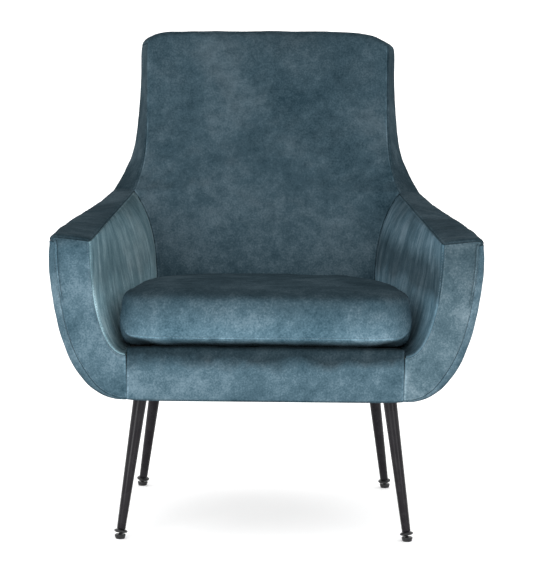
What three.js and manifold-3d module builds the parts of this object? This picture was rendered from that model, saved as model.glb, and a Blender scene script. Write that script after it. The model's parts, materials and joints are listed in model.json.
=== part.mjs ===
// An upholstered tub armchair on four splayed metal legs, built the way it is made:
// a timber frame, springs and webbing, foam, sewn cover panels, a loose seat cushion and levelling glides.
// Units are millimetres. +Z is up, the chair faces -Y, and the origin is on the floor under its middle.
import * as THREE from "three";
import { mergeVertices } from "three/addons/utils/BufferGeometryUtils.js";
import Module from "manifold-3d";

const wasm = await Module();
wasm.setup();

// ---- Driving dimensions ------------------------------------------------------------------------
const FRONT_Y = -375; // plane of the arm fronts and the front rail
const REAR_Y = 379; // rearmost line of the back, at its top
const TOP_Z = 864; // middle of the back's top edge
const SHELL_BOTTOM_Z = 258;
const DECK_Z = 340; // where the inside panels meet the seat deck
const GAP = 0.4; // clearance kept between neighbouring solids

// The tub's outer and inner surfaces on the right-hand side: at the rear corner seam (rear) and at the
// arm front (front), along the bottom edge (base) and the top edge (rim).
const OUTER = {
  rearBase: { x: 225, y: 212 },
  frontBase: { x: 238 },
  rearRim: { x: 292, y: 205, z: 572 },
  frontRim: { x: 374, z: 544 },
  rimBulge: 5, // how far the rim bows outwards along the arm
  rimSweep: 100, // length over which the arm top sweeps up to the back
  fullness: 2.35, // superellipse exponent of the section
};
const INNER = {
  rearBase: { x: 205, y: 118 },
  frontBase: { x: 240 },
  rearRim: { x: 251, y: 160, z: 572 },
  frontRim: { x: 300, z: 536 },
  rimBulge: 4,
  rimRise: 1.5, // exponent of the rise of the arm's inner edge
  rearFlare: 3.8, // exponent of the flare at the top of the inside corner
  fullness: 2.15,
};
const BACK = {
  cornerDrop: 26, // how far the top corners fall below the middle of the top edge
  cornerPower: 10,
  baseY: 272, // rear surface at the bottom, in the middle
  insideLean: 0.11,
  insideCurl: 0.00036,
  planPower: 2.6, // superellipse exponent of the rear surface's plan
  joint: 0.5, // share of the back's height parameter at which the arms join it
};
const CORNER_Z = TOP_Z - BACK.cornerDrop;
// The back's side edges above the arms.
const OUTER_SIDE = sideCurve([
  [292, 205, 572],
  [278, 248, 594],
  [261, 285, 630],
  [251, 312, 680],
  [247, 330, 740],
  [247, 356, CORNER_Z],
]);
const INNER_SIDE = sideCurve([
  [251, 160, 572],
  [245, 173, 594],
  [239, 188, 630],
  [236, 209, 680],
  [235, 236, 744],
  [236, 276, CORNER_Z - 10],
]);

// Cover panels, as shares of the surface they lie on.
const PANEL = {
  rim: 0.975, // the arm panels stop here, below the rim band
  side: 0.955, // the back panels stop here, inside the rim band
  top: 0.975,
  facing: 0.986, // the arm panels stop here, behind the arm facing
  seam: 0.004, // between neighbouring arm panels
  sideSeam: 0.024, // beside the rim band, where the back turns sharply
  skin: 0.045, // share of the tub's thickness taken by a cover
};

const CUSHION = {
  frontY: -379,
  rearY: 118,
  frontHalf: 255,
  rearHalf: 197,
  cornerRadius: 78,
  bottomZ: 346,
  height: 90,
  underInset: 74, // how far the flat underside lies inside the outline
  crownInset: 165, // and the flat middle of the crown
  coverThickness: 2,
  foamGap: 1,
  zip: { width: 300, height: 8, depth: 30 },
};

const LEG = {
  bottomRadius: 7.6,
  topRadius: 12.4,
  wall: 1.6,
  plugLength: 20, // threaded plug in the bottom of the tube
  plateSize: 50,
  plateThickness: 3,
  plateOffset: 6, // the plate's centre lies this far inward of the leg
  plateZ: 254.8,
};
const BOLT = { radius: 4, bottomZ: 246.8, topZ: 294 };
// Where each leg's axis meets the floor glide and the mounting plate.
const FEET = {
  front_left: { foot: [-252, -300], top: [-218, -266] },
  front_right: { foot: [252, -300], top: [218, -266] },
  rear_left: { foot: [-233, 196], top: [-200, 162] },
  rear_right: { foot: [233, 196], top: [200, 162] },
};
const GLIDE = {
  ballRadius: 4.4,
  ballZ: 5.6,
  socketPlay: 0.35,
  padHeight: 8,
  padTopRadius: 9.8,
  padBottomRadius: 8.2,
  padBevel: 1,
  neckRadius: 2.6,
  collarRadius: 12,
  collarStart: 6.4, // measured up the leg's axis from the ball's centre
  collarThickness: 4.6,
  collarBevel: 1.4,
  stemRadius: 4,
  stemLength: 34,
};

const RAIL = { z0: 266, z1: 303, thickness: 22 };
const FRONT_RAIL = { length: 452, y: -340 };
const REAR_RAIL = { length: 300, y: 178 };
const SIDE_RAIL = { length: 370, x: 201, y: -61, thickness: 20, turn: 0.05 };
const BLOCK = { width: 54, frontDepth: 78, rearDepth: 60, frontY: -288, rearY: 162, frontIn: 6, rearIn: 10 };
const POST = { width: 34, depth: 26, foot: [178, 228, 306], head: [198, 304, 778] };
const LOWER_RAIL = { length: 322, thickness: 22, height: 50, y: 243, z: 405 };
const SPRING = { spacing: 100, bends: 9, reach: 21, crown: 9, radius: 1.9, stepsPerBend: 5, sides: 5 };
const STRAP = { levels: [0.36, 0.57, 0.75], width: 0.075, reach: 0.78 };

// ---- Materials ---------------------------------------------------------------------------------
const material = (color, roughness, metalness = 0) =>
  new THREE.MeshStandardMaterial({ color, roughness, metalness });
const velvet = material(0x4b646f, 0.9);
const timber = material(0xb08b5a, 0.8);
const foam = material(0xe3dcc0, 0.95);
const lining = material(0x222326, 0.95);
const webbing = material(0x3a3a3c, 0.9);
const springSteel = material(0x6d6f72, 0.4, 0.9);
const blackMetal = material(0x232326, 0.35, 0.6);
const blackPlastic = material(0x1b1b1c, 0.6);
const zincSteel = material(0xa9abad, 0.35, 0.9);

// ---- Geometry helpers --------------------------------------------------------------------------
function lerp(a, b, t) {
  return a + (b - a) * t;
}

function smooth(t) {
  return t * t * (3 - 2 * t);
}

function blend(p, q, t) {
  return p.map((value, i) => lerp(value, q[i], t));
}

function sideCurve(points) {
  return new THREE.CatmullRomCurve3(points.map((p) => new THREE.Vector3(...p)), false, "centripetal");
}

function mirrored(point) {
  return (u, v, w) => {
    const [x, y, z] = point(u, v, w);
    return [-x, y, z];
  };
}

// A closed geometry from points and triangles, with its faces turned outwards.
function indexed(positions, triangles) {
  const [a, b, c] = [new THREE.Vector3(), new THREE.Vector3(), new THREE.Vector3()];
  let volume = 0;
  for (let i = 0; i < triangles.length; i += 3) {
    a.set(...positions[triangles[i]]);
    b.set(...positions[triangles[i + 1]]);
    c.set(...positions[triangles[i + 2]]);
    volume += a.dot(b.cross(c));
  }
  const geometry = new THREE.BufferGeometry();
  geometry.setAttribute("position", new THREE.Float32BufferAttribute(positions.flat(), 3));
  geometry.setIndex(volume < 0 ? triangles.reverse() : triangles);
  geometry.computeVertexNormals();
  return geometry;
}

// A closed solid between the sheets point(u, v, w0) and point(u, v, w1).
function slab(point, [u0, u1, nu], [v0, v1, nv], [w0, w1]) {
  const positions = [];
  for (const w of [w0, w1]) {
    for (let i = 0; i <= nu; i++) {
      for (let j = 0; j <= nv; j++) {
        positions.push(point(lerp(u0, u1, i / nu), lerp(v0, v1, j / nv), w));
      }
    }
  }
  const at = (i, j, k) => (k * (nu + 1) + i) * (nv + 1) + j;
  const triangles = [];
  const quad = (a, b, c, d) => triangles.push(a, b, c, a, c, d);
  for (let i = 0; i < nu; i++) {
    for (let j = 0; j < nv; j++) {
      quad(at(i, j, 0), at(i, j + 1, 0), at(i + 1, j + 1, 0), at(i + 1, j, 0));
      quad(at(i, j, 1), at(i + 1, j, 1), at(i + 1, j + 1, 1), at(i, j + 1, 1));
    }
  }
  for (let i = 0; i < nu; i++) {
    quad(at(i, 0, 0), at(i + 1, 0, 0), at(i + 1, 0, 1), at(i, 0, 1));
    quad(at(i, nv, 0), at(i, nv, 1), at(i + 1, nv, 1), at(i + 1, nv, 0));
  }
  for (let j = 0; j < nv; j++) {
    quad(at(0, j, 0), at(0, j, 1), at(0, j + 1, 1), at(0, j + 1, 0));
    quad(at(nu, j, 0), at(nu, j + 1, 0), at(nu, j + 1, 1), at(nu, j, 1));
  }
  return indexed(positions, triangles);
}

// A closed solid through rings of equal length, with its first and last ring capped.
function rings(loops) {
  const n = loops[0].length;
  const last = (loops.length - 1) * n;
  const triangles = [];
  for (let i = 0; i < last; i += n) {
    for (let j = 0; j < n; j++) {
      const k = (j + 1) % n;
      triangles.push(i + j, i + k, i + n + k, i + j, i + n + k, i + n + j);
    }
  }
  for (let j = 1; j + 1 < n; j++) {
    triangles.push(0, j + 1, j, last, last + j, last + j + 1);
  }
  return indexed(loops.flat(), triangles);
}

function box(width, depth, height, [x, y, z], turn = 0) {
  return new THREE.BoxGeometry(width, depth, height).rotateZ(turn).translate(x, y, z);
}

// A straight post between two points, its ends cut level.
function post(width, depth, foot, head) {
  const corners = [[-0.5, -0.5], [0.5, -0.5], [0.5, 0.5], [-0.5, 0.5]];
  const ring = ([x, y, z]) => corners.map(([i, j]) => [x + i * width, y + j * depth, z]);
  return rings([ring(foot), ring(head)]);
}

function upright(radius, z0, z1, x, y, sides = 12) {
  const geometry = new THREE.CylinderGeometry(radius, radius, z1 - z0, sides);
  return geometry.rotateX(Math.PI / 2).translate(x, y, (z0 + z1) / 2);
}

// A solid of revolution about +Z through points [radius, height].
function turned(profile, sides = 16) {
  const points = profile.map(([radius, height]) => new THREE.Vector2(radius, height));
  return new THREE.LatheGeometry(points, sides).rotateX(Math.PI / 2);
}

// Points [radius, height] of an arc about [0, height], between two angles in radians.
function arc(radius, height, from, to, steps = 4) {
  const points = [];
  for (let i = 0; i <= steps; i++) {
    const angle = lerp(from, to, i / steps);
    points.push([Math.max(0, radius * Math.cos(angle)), height + radius * Math.sin(angle)]);
  }
  return points;
}

// A level plate with a polygon outline.
function plate(outline, z0, z1) {
  const level = (z) => outline.map(([x, y]) => [x, y, z]);
  return rings([level(z0), level(z1)]);
}

function solid(geometry) {
  const bare = geometry.clone();
  bare.deleteAttribute("normal");
  bare.deleteAttribute("uv");
  const merged = mergeVertices(bare, 1e-3);
  return new wasm.Manifold(
    new wasm.Mesh({
      numProp: 3,
      vertProperties: new Float32Array(merged.attributes.position.array),
      triVerts: new Uint32Array(merged.index.array),
    }),
  );
}

function geometryOf(manifold) {
  const mesh = manifold.getMesh();
  const geometry = new THREE.BufferGeometry();
  geometry.setAttribute("position", new THREE.BufferAttribute(mesh.vertProperties, 3));
  geometry.setIndex(new THREE.BufferAttribute(mesh.triVerts, 1));
  geometry.computeVertexNormals();
  return geometry;
}

const chair = new THREE.Group();

function add(name, geometry, finish) {
  const mesh = new THREE.Mesh(geometry, finish);
  mesh.name = name;
  chair.add(mesh);
}

// Adds a right and a left node made from one point function of the right-hand side.
function addPair(name, point, u, v, w, finish) {
  add(`right_${name}`, slab(point, u, v, w), finish);
  add(`left_${name}`, slab(mirrored(point), u, v, w), finish);
}

// ---- The tub's surfaces ------------------------------------------------------------------------
// Arms: c runs from the rear corner seam (0) to the arm front (1), d from the base (0) to the rim (1).
function armOuter(c, d) {
  const { rearBase, frontBase, rearRim, frontRim, rimBulge, rimSweep, fullness } = OUTER;
  const angle = (d * Math.PI) / 2;
  const power = 2 / fullness;
  const rimY = lerp(rearRim.y, FRONT_Y, c);
  const rimX = lerp(rearRim.x, frontRim.x, c) + rimBulge * Math.sin(Math.PI * c);
  const rimZ = frontRim.z + (rearRim.z - frontRim.z) * Math.exp((rimY - rearRim.y) / rimSweep);
  const baseX = lerp(rearBase.x, frontBase.x, c);
  const baseY = lerp(rearBase.y, FRONT_Y, c);
  return [
    lerp(baseX, rimX, Math.sin(angle) ** power),
    lerp(baseY, rimY, d),
    lerp(SHELL_BOTTOM_Z, rimZ, 1 - Math.max(0, Math.cos(angle)) ** power),
  ];
}

function armInner(c, d) {
  const { rearBase, frontBase, rearRim, frontRim, rimBulge, rimRise, rearFlare, fullness } = INNER;
  const angle = (d * Math.PI) / 2;
  const power = 2 / fullness;
  const rimX = lerp(rearRim.x, frontRim.x, c) + rimBulge * Math.sin(Math.PI * c);
  const rimZ = lerp(frontRim.z, rearRim.z, (1 - c) ** rimRise);
  const baseX = lerp(rearBase.x, frontBase.x, c);
  const scoop = smooth(c); // the front sections are scooped, the rear corner stands upright
  return [
    lerp(baseX, rimX, lerp(d ** rearFlare, Math.sin(angle) ** power, scoop)),
    lerp(lerp(rearBase.y, rearRim.y, d), FRONT_Y, c),
    lerp(DECK_Z, rimZ, lerp(d, 1 - Math.max(0, Math.cos(angle)) ** power, scoop)),
  ];
}

// k runs from the outer surface (0) to the inner (1).
function arm(c, d, k) {
  return blend(armOuter(c, d), armInner(c, d), k);
}

// Back: a runs from the left edge (-1) to the right (1), b from the base (0) to the top edge (1).
function backEdge(b, armSurface, curve) {
  if (b <= BACK.joint) return armSurface(0, b / BACK.joint);
  return curve.getPoint((b - BACK.joint) / (1 - BACK.joint)).toArray();
}

function backPoint(a, b, edge, centreY, across, forward) {
  const [edgeX, edgeY, edgeZ] = edge;
  const rise = BACK.cornerDrop * Math.max(0, (b - BACK.joint) / (1 - BACK.joint)) ** 3;
  const z = edgeZ + rise * (1 - Math.abs(a) ** BACK.cornerPower);
  return [Math.sign(a) * edgeX * across, lerp(centreY(z), edgeY, forward), z];
}

function outerCentreY(z) {
  return lerp(BACK.baseY, REAR_Y, (z - SHELL_BOTTOM_Z) / (TOP_Z - SHELL_BOTTOM_Z));
}

function innerCentreY(z) {
  const rise = z - DECK_Z;
  return 138 + BACK.insideLean * rise + BACK.insideCurl * rise ** 2;
}

function backOuter(a, b) {
  const angle = (Math.abs(a) * Math.PI) / 2;
  const power = 2 / BACK.planPower;
  const across = Math.sin(angle) ** power;
  const forward = 1 - Math.max(0, Math.cos(angle)) ** power;
  return backPoint(a, b, backEdge(b, armOuter, OUTER_SIDE), outerCentreY, across, forward);
}

function backInner(a, b) {
  return backPoint(a, b, backEdge(b, armInner, INNER_SIDE), innerCentreY, Math.abs(a), a * a);
}

function back(a, b, k) {
  return blend(backOuter(a, b), backInner(a, b), k);
}

// ---- Covers ------------------------------------------------------------------------------------
// The back panels reach the corner seams below the arms' height, and narrow to the rim band above it.
function backPanel(u, b, k) {
  const low = 0.985;
  const high = PANEL.side - PANEL.seam;
  const narrowing = smooth(Math.min(1, Math.max(0, (b - 0.38) / 0.1)));
  return back(u * lerp(low, high, narrowing), b, k);
}

// The boxing strip along one arm's top and up the back's side.
function rimBand(sign) {
  const { rim, side, sideSeam } = PANEL;
  const steps = 16;
  const stations = [];
  for (let i = 0; i < steps; i++) {
    const c = 1 - i / steps;
    stations.push([armOuter(c, 1), armInner(c, 1), armInner(c, rim), armOuter(c, rim)]);
  }
  for (let i = 0; i <= steps; i++) {
    const b = lerp(BACK.joint, 1, i / steps);
    const turn = smooth(Math.min(1, i / 3)); // from the arm's top round to the back's side
    const innerDeep = blend(armInner(0, rim), backInner(side + sideSeam, b), turn);
    const outerDeep = blend(armOuter(0, rim), backOuter(side + sideSeam, b), turn);
    stations.push([backOuter(1, b), backInner(1, b), innerDeep, outerDeep]);
  }
  return rings(stations.map((station) => station.map(([x, y, z]) => [sign * x, y, z])));
}

function addCovers() {
  const { rim, side, top, facing, seam, skin } = PANEL;
  const rearSeam = 0.006;
  const length = [rearSeam, facing - seam, 13];
  addPair("outside_arm_cover", arm, length, [0, rim - seam, 8], [0, skin], velvet);
  addPair("inside_arm_cover", arm, length, [0.02, rim - seam, 8], [1 - skin, 1], velvet);
  addPair("arm_facing", arm, [facing, 1, 1], [0, rim - seam, 12], [0, 1], velvet);
  add("inside_back_cover", slab(backPanel, [-1, 1, 14], [0.02, top - seam, 16], [1 - skin, 1]), velvet);
  add("outside_back_cover", slab(backPanel, [-1, 1, 18], [0, top - seam, 16], [0, 0.03]), velvet);
  const across = side - seam;
  add("top_rim_band", slab(back, [-across, across, 18], [top, 1, 1], [0, 1]), velvet);
  add("right_rim_band", rimBand(1), velvet);
  add("left_rim_band", rimBand(-1), velvet);
  const height = DECK_Z + 4 - SHELL_BOTTOM_Z;
  const centre = [0, FRONT_Y + 2, SHELL_BOTTOM_Z + height / 2];
  add("front_rail_cover", box(2 * OUTER.frontBase.x - 2, 4, height, centre), velvet);
}

// ---- Foam, seat deck and dust cover ------------------------------------------------------------
// Plan outline of the seat well, drawn in by inset.
function wellOutline(inset) {
  const front = FRONT_Y + 6;
  const rearEdge = INNER.rearBase.y - inset;
  const rearMiddle = innerCentreY(DECK_Z) - inset;
  const frontHalf = INNER.frontBase.x - inset;
  const rearHalf = INNER.rearBase.x - inset;
  return [
    [-frontHalf, front],
    [frontHalf, front],
    [rearHalf, rearEdge],
    [rearHalf / 2, rearMiddle - 5],
    [0, rearMiddle],
    [-rearHalf / 2, rearMiddle - 5],
    [-rearHalf, rearEdge],
  ];
}

// Plan outline of the shell's underside, just inside its covers.
function undersideOutline() {
  const outline = [];
  const steps = 8;
  for (let i = 0; i <= steps; i++) {
    const [x, y] = backOuter(lerp(-1, 1, i / steps), 0);
    outline.push([x * 0.97, y - 6]);
  }
  const frontHalf = OUTER.frontBase.x - 5;
  outline.push([frontHalf, FRONT_Y + 8], [-frontHalf, FRONT_Y + 8]);
  return outline;
}

function dustCover() {
  const z0 = SHELL_BOTTOM_Z + 1.2;
  const z1 = z0 + 1.2;
  let sheet = solid(plate(undersideOutline(), z0, z1));
  for (const { top } of Object.values(FEET)) {
    sheet = sheet.subtract(solid(upright(BOLT.radius + GAP, z0 - 1, z1 + 1, ...top)));
  }
  return geometryOf(sheet);
}

function addPadding() {
  const { rim, facing, seam } = PANEL;
  addPair("arm_foam", arm, [0.04, facing - seam, 12], [0.03, rim - 0.012, 7], [0.56, 0.94], foam);
  add("back_foam", slab(back, [-0.93, 0.93, 12], [0.07, 0.955, 12], [0.7, 0.94]), foam);
  add("deck_pad", plate(wellOutline(4), DECK_Z - 16, DECK_Z), foam);
  add("deck_cover", plate(wellOutline(3), DECK_Z + 0.6, DECK_Z + 3.6), lining);
  add("dust_cover", dustCover(), lining);
}

// ---- Timber frame, springs and webbing ---------------------------------------------------------
function seatRail(length, thickness, x, y, turn = 0) {
  return box(length, thickness, RAIL.z1 - RAIL.z0, [x, y, (RAIL.z0 + RAIL.z1) / 2], turn);
}

function cornerBlock(corner, [x, y]) {
  const front = corner.startsWith("front");
  const centreX = x - Math.sign(x) * (front ? BLOCK.frontIn : BLOCK.rearIn);
  const depth = front ? BLOCK.frontDepth : BLOCK.rearDepth;
  const block = solid(seatRail(BLOCK.width, depth, centreX, front ? BLOCK.frontY : BLOCK.rearY));
  return geometryOf(block.subtract(solid(upright(BOLT.radius + GAP, RAIL.z0 - 1, BOLT.topZ + 1, x, y))));
}

function addFrame() {
  add("front_rail", seatRail(FRONT_RAIL.length, RAIL.thickness, 0, FRONT_RAIL.y), timber);
  add("rear_rail", seatRail(REAR_RAIL.length, RAIL.thickness, 0, REAR_RAIL.y), timber);
  for (const [corner, { top }] of Object.entries(FEET)) {
    add(`${corner}_corner_block`, cornerBlock(corner, top), timber);
  }
  for (const [side, sign] of [["left", -1], ["right", 1]]) {
    const { length, thickness, x, y, turn } = SIDE_RAIL;
    add(`${side}_seat_rail`, seatRail(thickness, length, sign * x, y, sign * turn), timber);
    const [foot, head] = [POST.foot, POST.head].map(([px, py, pz]) => [sign * px, py, pz]);
    add(`${side}_back_post`, post(POST.width, POST.depth, foot, head), timber);
  }
  addPair("arm_rail", arm, [0.05, 0.965, 10], [0.82, 0.93, 1], [0.14, 0.5], timber);
  addPair("arm_post", arm, [0.9, 0.965, 1], [0.14, 0.81, 6], [0.14, 0.5], timber);
  add("back_top_rail", slab(back, [-0.8, 0.8, 12], [0.93, 0.965, 1], [0.22, 0.64]), timber);
  const { length, thickness, height, y, z } = LOWER_RAIL;
  add("back_lower_rail", box(length, thickness, height, [0, y, z]), timber);
}

// A zigzag spring from the front rail to the rear rail.
function zigzagSpring(x) {
  const steps = SPRING.bends * SPRING.stepsPerBend;
  const points = [];
  for (let i = 0; i <= steps; i++) {
    const t = i / steps;
    const side = SPRING.reach * Math.sin(t * SPRING.bends * 2 * Math.PI);
    const y = lerp(FRONT_RAIL.y, REAR_RAIL.y, t);
    const z = RAIL.z1 + SPRING.radius + 0.7 + SPRING.crown * Math.sin(Math.PI * t);
    points.push(new THREE.Vector3(x + side, y, z));
  }
  const wire = new THREE.Shape();
  for (let i = 0; i < SPRING.sides; i++) {
    const angle = (i / SPRING.sides) * 2 * Math.PI;
    const [wireX, wireY] = [SPRING.radius * Math.cos(angle), SPRING.radius * Math.sin(angle)];
    if (i === 0) wire.moveTo(wireX, wireY);
    else wire.lineTo(wireX, wireY);
  }
  return new THREE.ExtrudeGeometry(wire, { steps, extrudePath: new THREE.CatmullRomCurve3(points) });
}

function addSuspension() {
  for (let i = 0; i < 4; i++) {
    add(`seat_spring_${i + 1}`, zigzagSpring((i - 1.5) * SPRING.spacing), springSteel);
  }
  STRAP.levels.forEach((b, i) => {
    const strap = slab(back, [-STRAP.reach, STRAP.reach, 10], [b, b + STRAP.width, 1], [0.66, 0.68]);
    add(`back_strap_${i + 1}`, strap, webbing);
  });
}

// ---- Seat cushion ------------------------------------------------------------------------------
// Plan outline: a tapered rectangle with rounded corners.
function cushionOutline(stepsPerCorner = 6) {
  const { frontY, rearY, frontHalf, rearHalf, cornerRadius } = CUSHION;
  const corners = [[frontHalf, frontY], [rearHalf, rearY], [-rearHalf, rearY], [-frontHalf, frontY]];
  const outline = [];
  corners.forEach(([x, y], corner) => {
    const centreX = x - Math.sign(x) * cornerRadius;
    const centreY = y - Math.sign(y) * cornerRadius;
    for (let i = 0; i <= stepsPerCorner; i++) {
      const angle = ((corner - 1 + i / stepsPerCorner) * Math.PI) / 2;
      outline.push([centreX + cornerRadius * Math.cos(angle), centreY + cornerRadius * Math.sin(angle)]);
    }
  });
  return outline;
}

// The cushion's crowned form, drawn in by inset all round.
function cushionForm(inset) {
  const outline = cushionOutline();
  const middleY = (CUSHION.frontY + CUSHION.rearY) / 2;
  const middleZ = CUSHION.bottomZ + CUSHION.height / 2;
  const halfHeight = CUSHION.height / 2 - inset;
  const levels = 9;
  const loops = [];
  for (let i = 0; i <= levels; i++) {
    const angle = lerp(-Math.PI / 2, Math.PI / 2, i / levels);
    const edge = angle < 0 ? CUSHION.underInset : CUSHION.crownInset;
    const drawnIn = edge * (1 - Math.max(0, Math.cos(angle))) ** 2;
    const scale = 1 - (drawnIn + inset) / CUSHION.frontHalf;
    const z = middleZ + halfHeight * Math.sin(angle);
    loops.push(outline.map(([x, y]) => [x * scale, middleY + (y - middleY) * scale, z]));
  }
  return rings(loops);
}

function addCushion() {
  const { width, height, depth } = CUSHION.zip;
  const centre = [0, CUSHION.rearY, CUSHION.bottomZ + CUSHION.height / 2];
  const zipBox = (inset) => solid(box(width - 2 * inset, depth, height - 2 * inset, centre));
  const shell = solid(cushionForm(0)).subtract(solid(cushionForm(CUSHION.coverThickness)));
  add("cushion_cover", geometryOf(shell.subtract(zipBox(0))), velvet);
  add("cushion_zip", geometryOf(shell.intersect(zipBox(GAP))), lining);
  add("cushion_foam", cushionForm(CUSHION.coverThickness + CUSHION.foamGap), foam);
}

// ---- Legs and glides ---------------------------------------------------------------------------
// A frame at the glide's ball whose +Z runs up the leg's axis.
function legFrame({ foot, top }) {
  const from = new THREE.Vector3(foot[0], foot[1], GLIDE.ballZ);
  const along = new THREE.Vector3(top[0], top[1], LEG.plateZ).sub(from);
  const length = along.length();
  const turn = new THREE.Quaternion().setFromUnitVectors(new THREE.Vector3(0, 0, 1), along.normalize());
  return { from, turn, length };
}

function placed(geometry, { from, turn }) {
  return geometry.applyQuaternion(turn).translate(from.x, from.y, from.z);
}

function legTube(frame) {
  const { bottomRadius, topRadius, wall, plugLength } = LEG;
  const start = GLIDE.collarStart + GLIDE.collarThickness + GAP;
  const plugTop = start + plugLength;
  const bore = GLIDE.stemRadius + GAP;
  const end = frame.length + 6; // cut level inside the plate afterwards
  const profile = [
    [bore, start],
    [bottomRadius, start],
    [topRadius, end],
    [topRadius - wall, end],
    [bottomRadius - wall + 0.4, plugTop],
    [bore, plugTop],
    [bore, start],
  ];
  return placed(turned(profile), frame);
}

// The tapered tube welded to its mounting plate, with the bolt's hole through both.
function leg(place) {
  const [x, y] = place.top;
  const { plateSize, plateThickness, plateOffset, plateZ } = LEG;
  const plateCentre = [x - Math.sign(x) * plateOffset, y, plateZ + plateThickness / 2];
  const mountingPlate = solid(box(plateSize, plateSize, plateThickness, plateCentre));
  const above = solid(upright(2 * plateSize, plateZ + 1, plateZ + plateSize, x, y));
  const hole = solid(upright(BOLT.radius + GAP, BOLT.bottomZ - 4, plateZ + 2 * plateThickness, x, y));
  const tube = solid(legTube(legFrame(place))).subtract(above);
  return geometryOf(tube.add(mountingPlate).subtract(hole));
}

// Ball, neck, turning collar and threaded stem of a levelling glide.
function glideStem() {
  const { ballRadius, neckRadius, collarRadius, collarBevel, stemRadius } = GLIDE;
  const start = GLIDE.collarStart;
  const end = start + GLIDE.collarThickness;
  return turned([
    ...arc(ballRadius, 0, -Math.PI / 2, Math.acos(neckRadius / ballRadius)),
    [neckRadius, start],
    [collarRadius - collarBevel, start],
    [collarRadius, start + collarBevel],
    [collarRadius, end - collarBevel],
    [collarRadius - 2 * collarBevel, end],
    [stemRadius, end],
    [stemRadius, end + GLIDE.stemLength],
    [0, end + GLIDE.stemLength],
  ]);
}

// The pad that stands on the floor, with the socket for the ball.
function glidePad([x, y]) {
  const { ballRadius, socketPlay, ballZ, padHeight, padTopRadius, padBottomRadius, padBevel } = GLIDE;
  const socket = ballRadius + socketPlay;
  const mouth = Math.asin((padHeight - ballZ) / socket);
  return turned([
    [0, 0],
    [padBottomRadius - padBevel, 0],
    [padBottomRadius, padBevel],
    [padTopRadius, padHeight - padBevel],
    [padTopRadius - padBevel, padHeight],
    ...arc(socket, ballZ, mouth, -Math.PI / 2),
  ]).translate(x, y, 0);
}

function addLegs() {
  for (const [corner, place] of Object.entries(FEET)) {
    add(`${corner}_leg`, leg(place), blackMetal);
    add(`${corner}_leg_bolt`, upright(BOLT.radius, BOLT.bottomZ, BOLT.topZ, ...place.top), zincSteel);
    add(`${corner}_glide_stem`, placed(glideStem(), legFrame(place)), blackPlastic);
    add(`${corner}_glide_pad`, glidePad(place.foot), blackPlastic);
  }
}

addCovers();
addPadding();
addFrame();
addSuspension();
addCushion();
addLegs();

export default chair;
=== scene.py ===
# The looks of an upholstered tub armchair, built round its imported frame.
# Lengths are metres. +Z is up and the chair faces -Y. Paired pieces are made on the right and mirrored.
import json
import math

import bmesh
import bpy
import numpy as np
from mathutils import Matrix, Vector


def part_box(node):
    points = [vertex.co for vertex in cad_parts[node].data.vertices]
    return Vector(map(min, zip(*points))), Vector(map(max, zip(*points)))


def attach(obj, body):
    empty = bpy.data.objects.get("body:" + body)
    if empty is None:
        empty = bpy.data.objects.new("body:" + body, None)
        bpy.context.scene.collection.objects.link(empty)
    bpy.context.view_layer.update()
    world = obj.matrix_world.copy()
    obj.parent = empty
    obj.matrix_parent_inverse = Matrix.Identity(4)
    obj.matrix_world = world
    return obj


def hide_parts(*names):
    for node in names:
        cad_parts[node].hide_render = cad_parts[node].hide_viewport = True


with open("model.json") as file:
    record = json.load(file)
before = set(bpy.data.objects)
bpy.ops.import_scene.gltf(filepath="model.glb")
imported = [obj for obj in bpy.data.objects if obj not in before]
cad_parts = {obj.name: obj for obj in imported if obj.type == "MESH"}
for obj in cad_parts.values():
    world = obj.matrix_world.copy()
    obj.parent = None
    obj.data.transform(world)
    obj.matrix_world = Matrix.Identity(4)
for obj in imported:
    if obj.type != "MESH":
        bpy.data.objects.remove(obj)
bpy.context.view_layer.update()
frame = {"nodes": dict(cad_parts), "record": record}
SHELL = "chair_frame"
MM = 0.001


# ---- Driving dimensions --------------------------------------------------------------------------
FRONT_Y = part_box("front_rail_cover")[0].y
BASE_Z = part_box("outside_back_cover")[0].z
TOP_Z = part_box("top_rim_band")[1].z
REAR_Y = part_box("top_rim_band")[1].y
DECK_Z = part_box("deck_pad")[1].z
RAIL_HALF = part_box("front_rail_cover")[1].x + 1 * MM

# The tub's outer and inner surfaces, on the frame's own outlines.
OUTER_REAR_BASE = (225 * MM, 212 * MM)
OUTER_REAR_RIM = (292 * MM, 205 * MM, 572 * MM)
OUTER_FRONT_RIM = (374 * MM, 544 * MM)
OUTER_FULLNESS = 2.35
OUTER_BULGE = 13 * MM
INNER_REAR_BASE = (205 * MM, 118 * MM)
INNER_REAR_RIM = (251 * MM, 160 * MM, 572 * MM)
INNER_FRONT_BASE_X = 240 * MM
INNER_FRONT_RIM = (300 * MM, 536 * MM)
INNER_FULLNESS = 2.15
INNER_BULGE = 4 * MM
INNER_REAR_FLARE = 3.8
INNER_RIM_RISE = 1.5
RIM_SWEEP = 150 * MM
ARM_LENGTH = OUTER_REAR_RIM[1] - FRONT_Y
BACK_BASE_Y = 272 * MM
BACK_PLAN_POWER = 2.6
INNER_SPINE_Y = 138 * MM  # the inside back's middle line: its depth at the deck, its lean and its bend
INNER_SPINE_LEAN = 0.11
INNER_SPINE_BEND = 0.36
JOINT = 0.5  # share of the back's height parameter at which the arms join it
JOINT_TURN = 0.25  # share over which the rim's wrap turns from the arm's side to the back's rear
JOINT_START = 0.07  # share below the joint over which the back's outer seam leaves the tub's edge
CORNER_DROP = 24 * MM
CORNER_Z = TOP_Z - CORNER_DROP
RIGHT_CORNER = (8.5, 1.0)  # the two powers of the top edge's fall to its corner
LEFT_CORNER = (12, 0.5)  # this corner is filled out squarer
TOP_LEAN = 3 * MM
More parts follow.
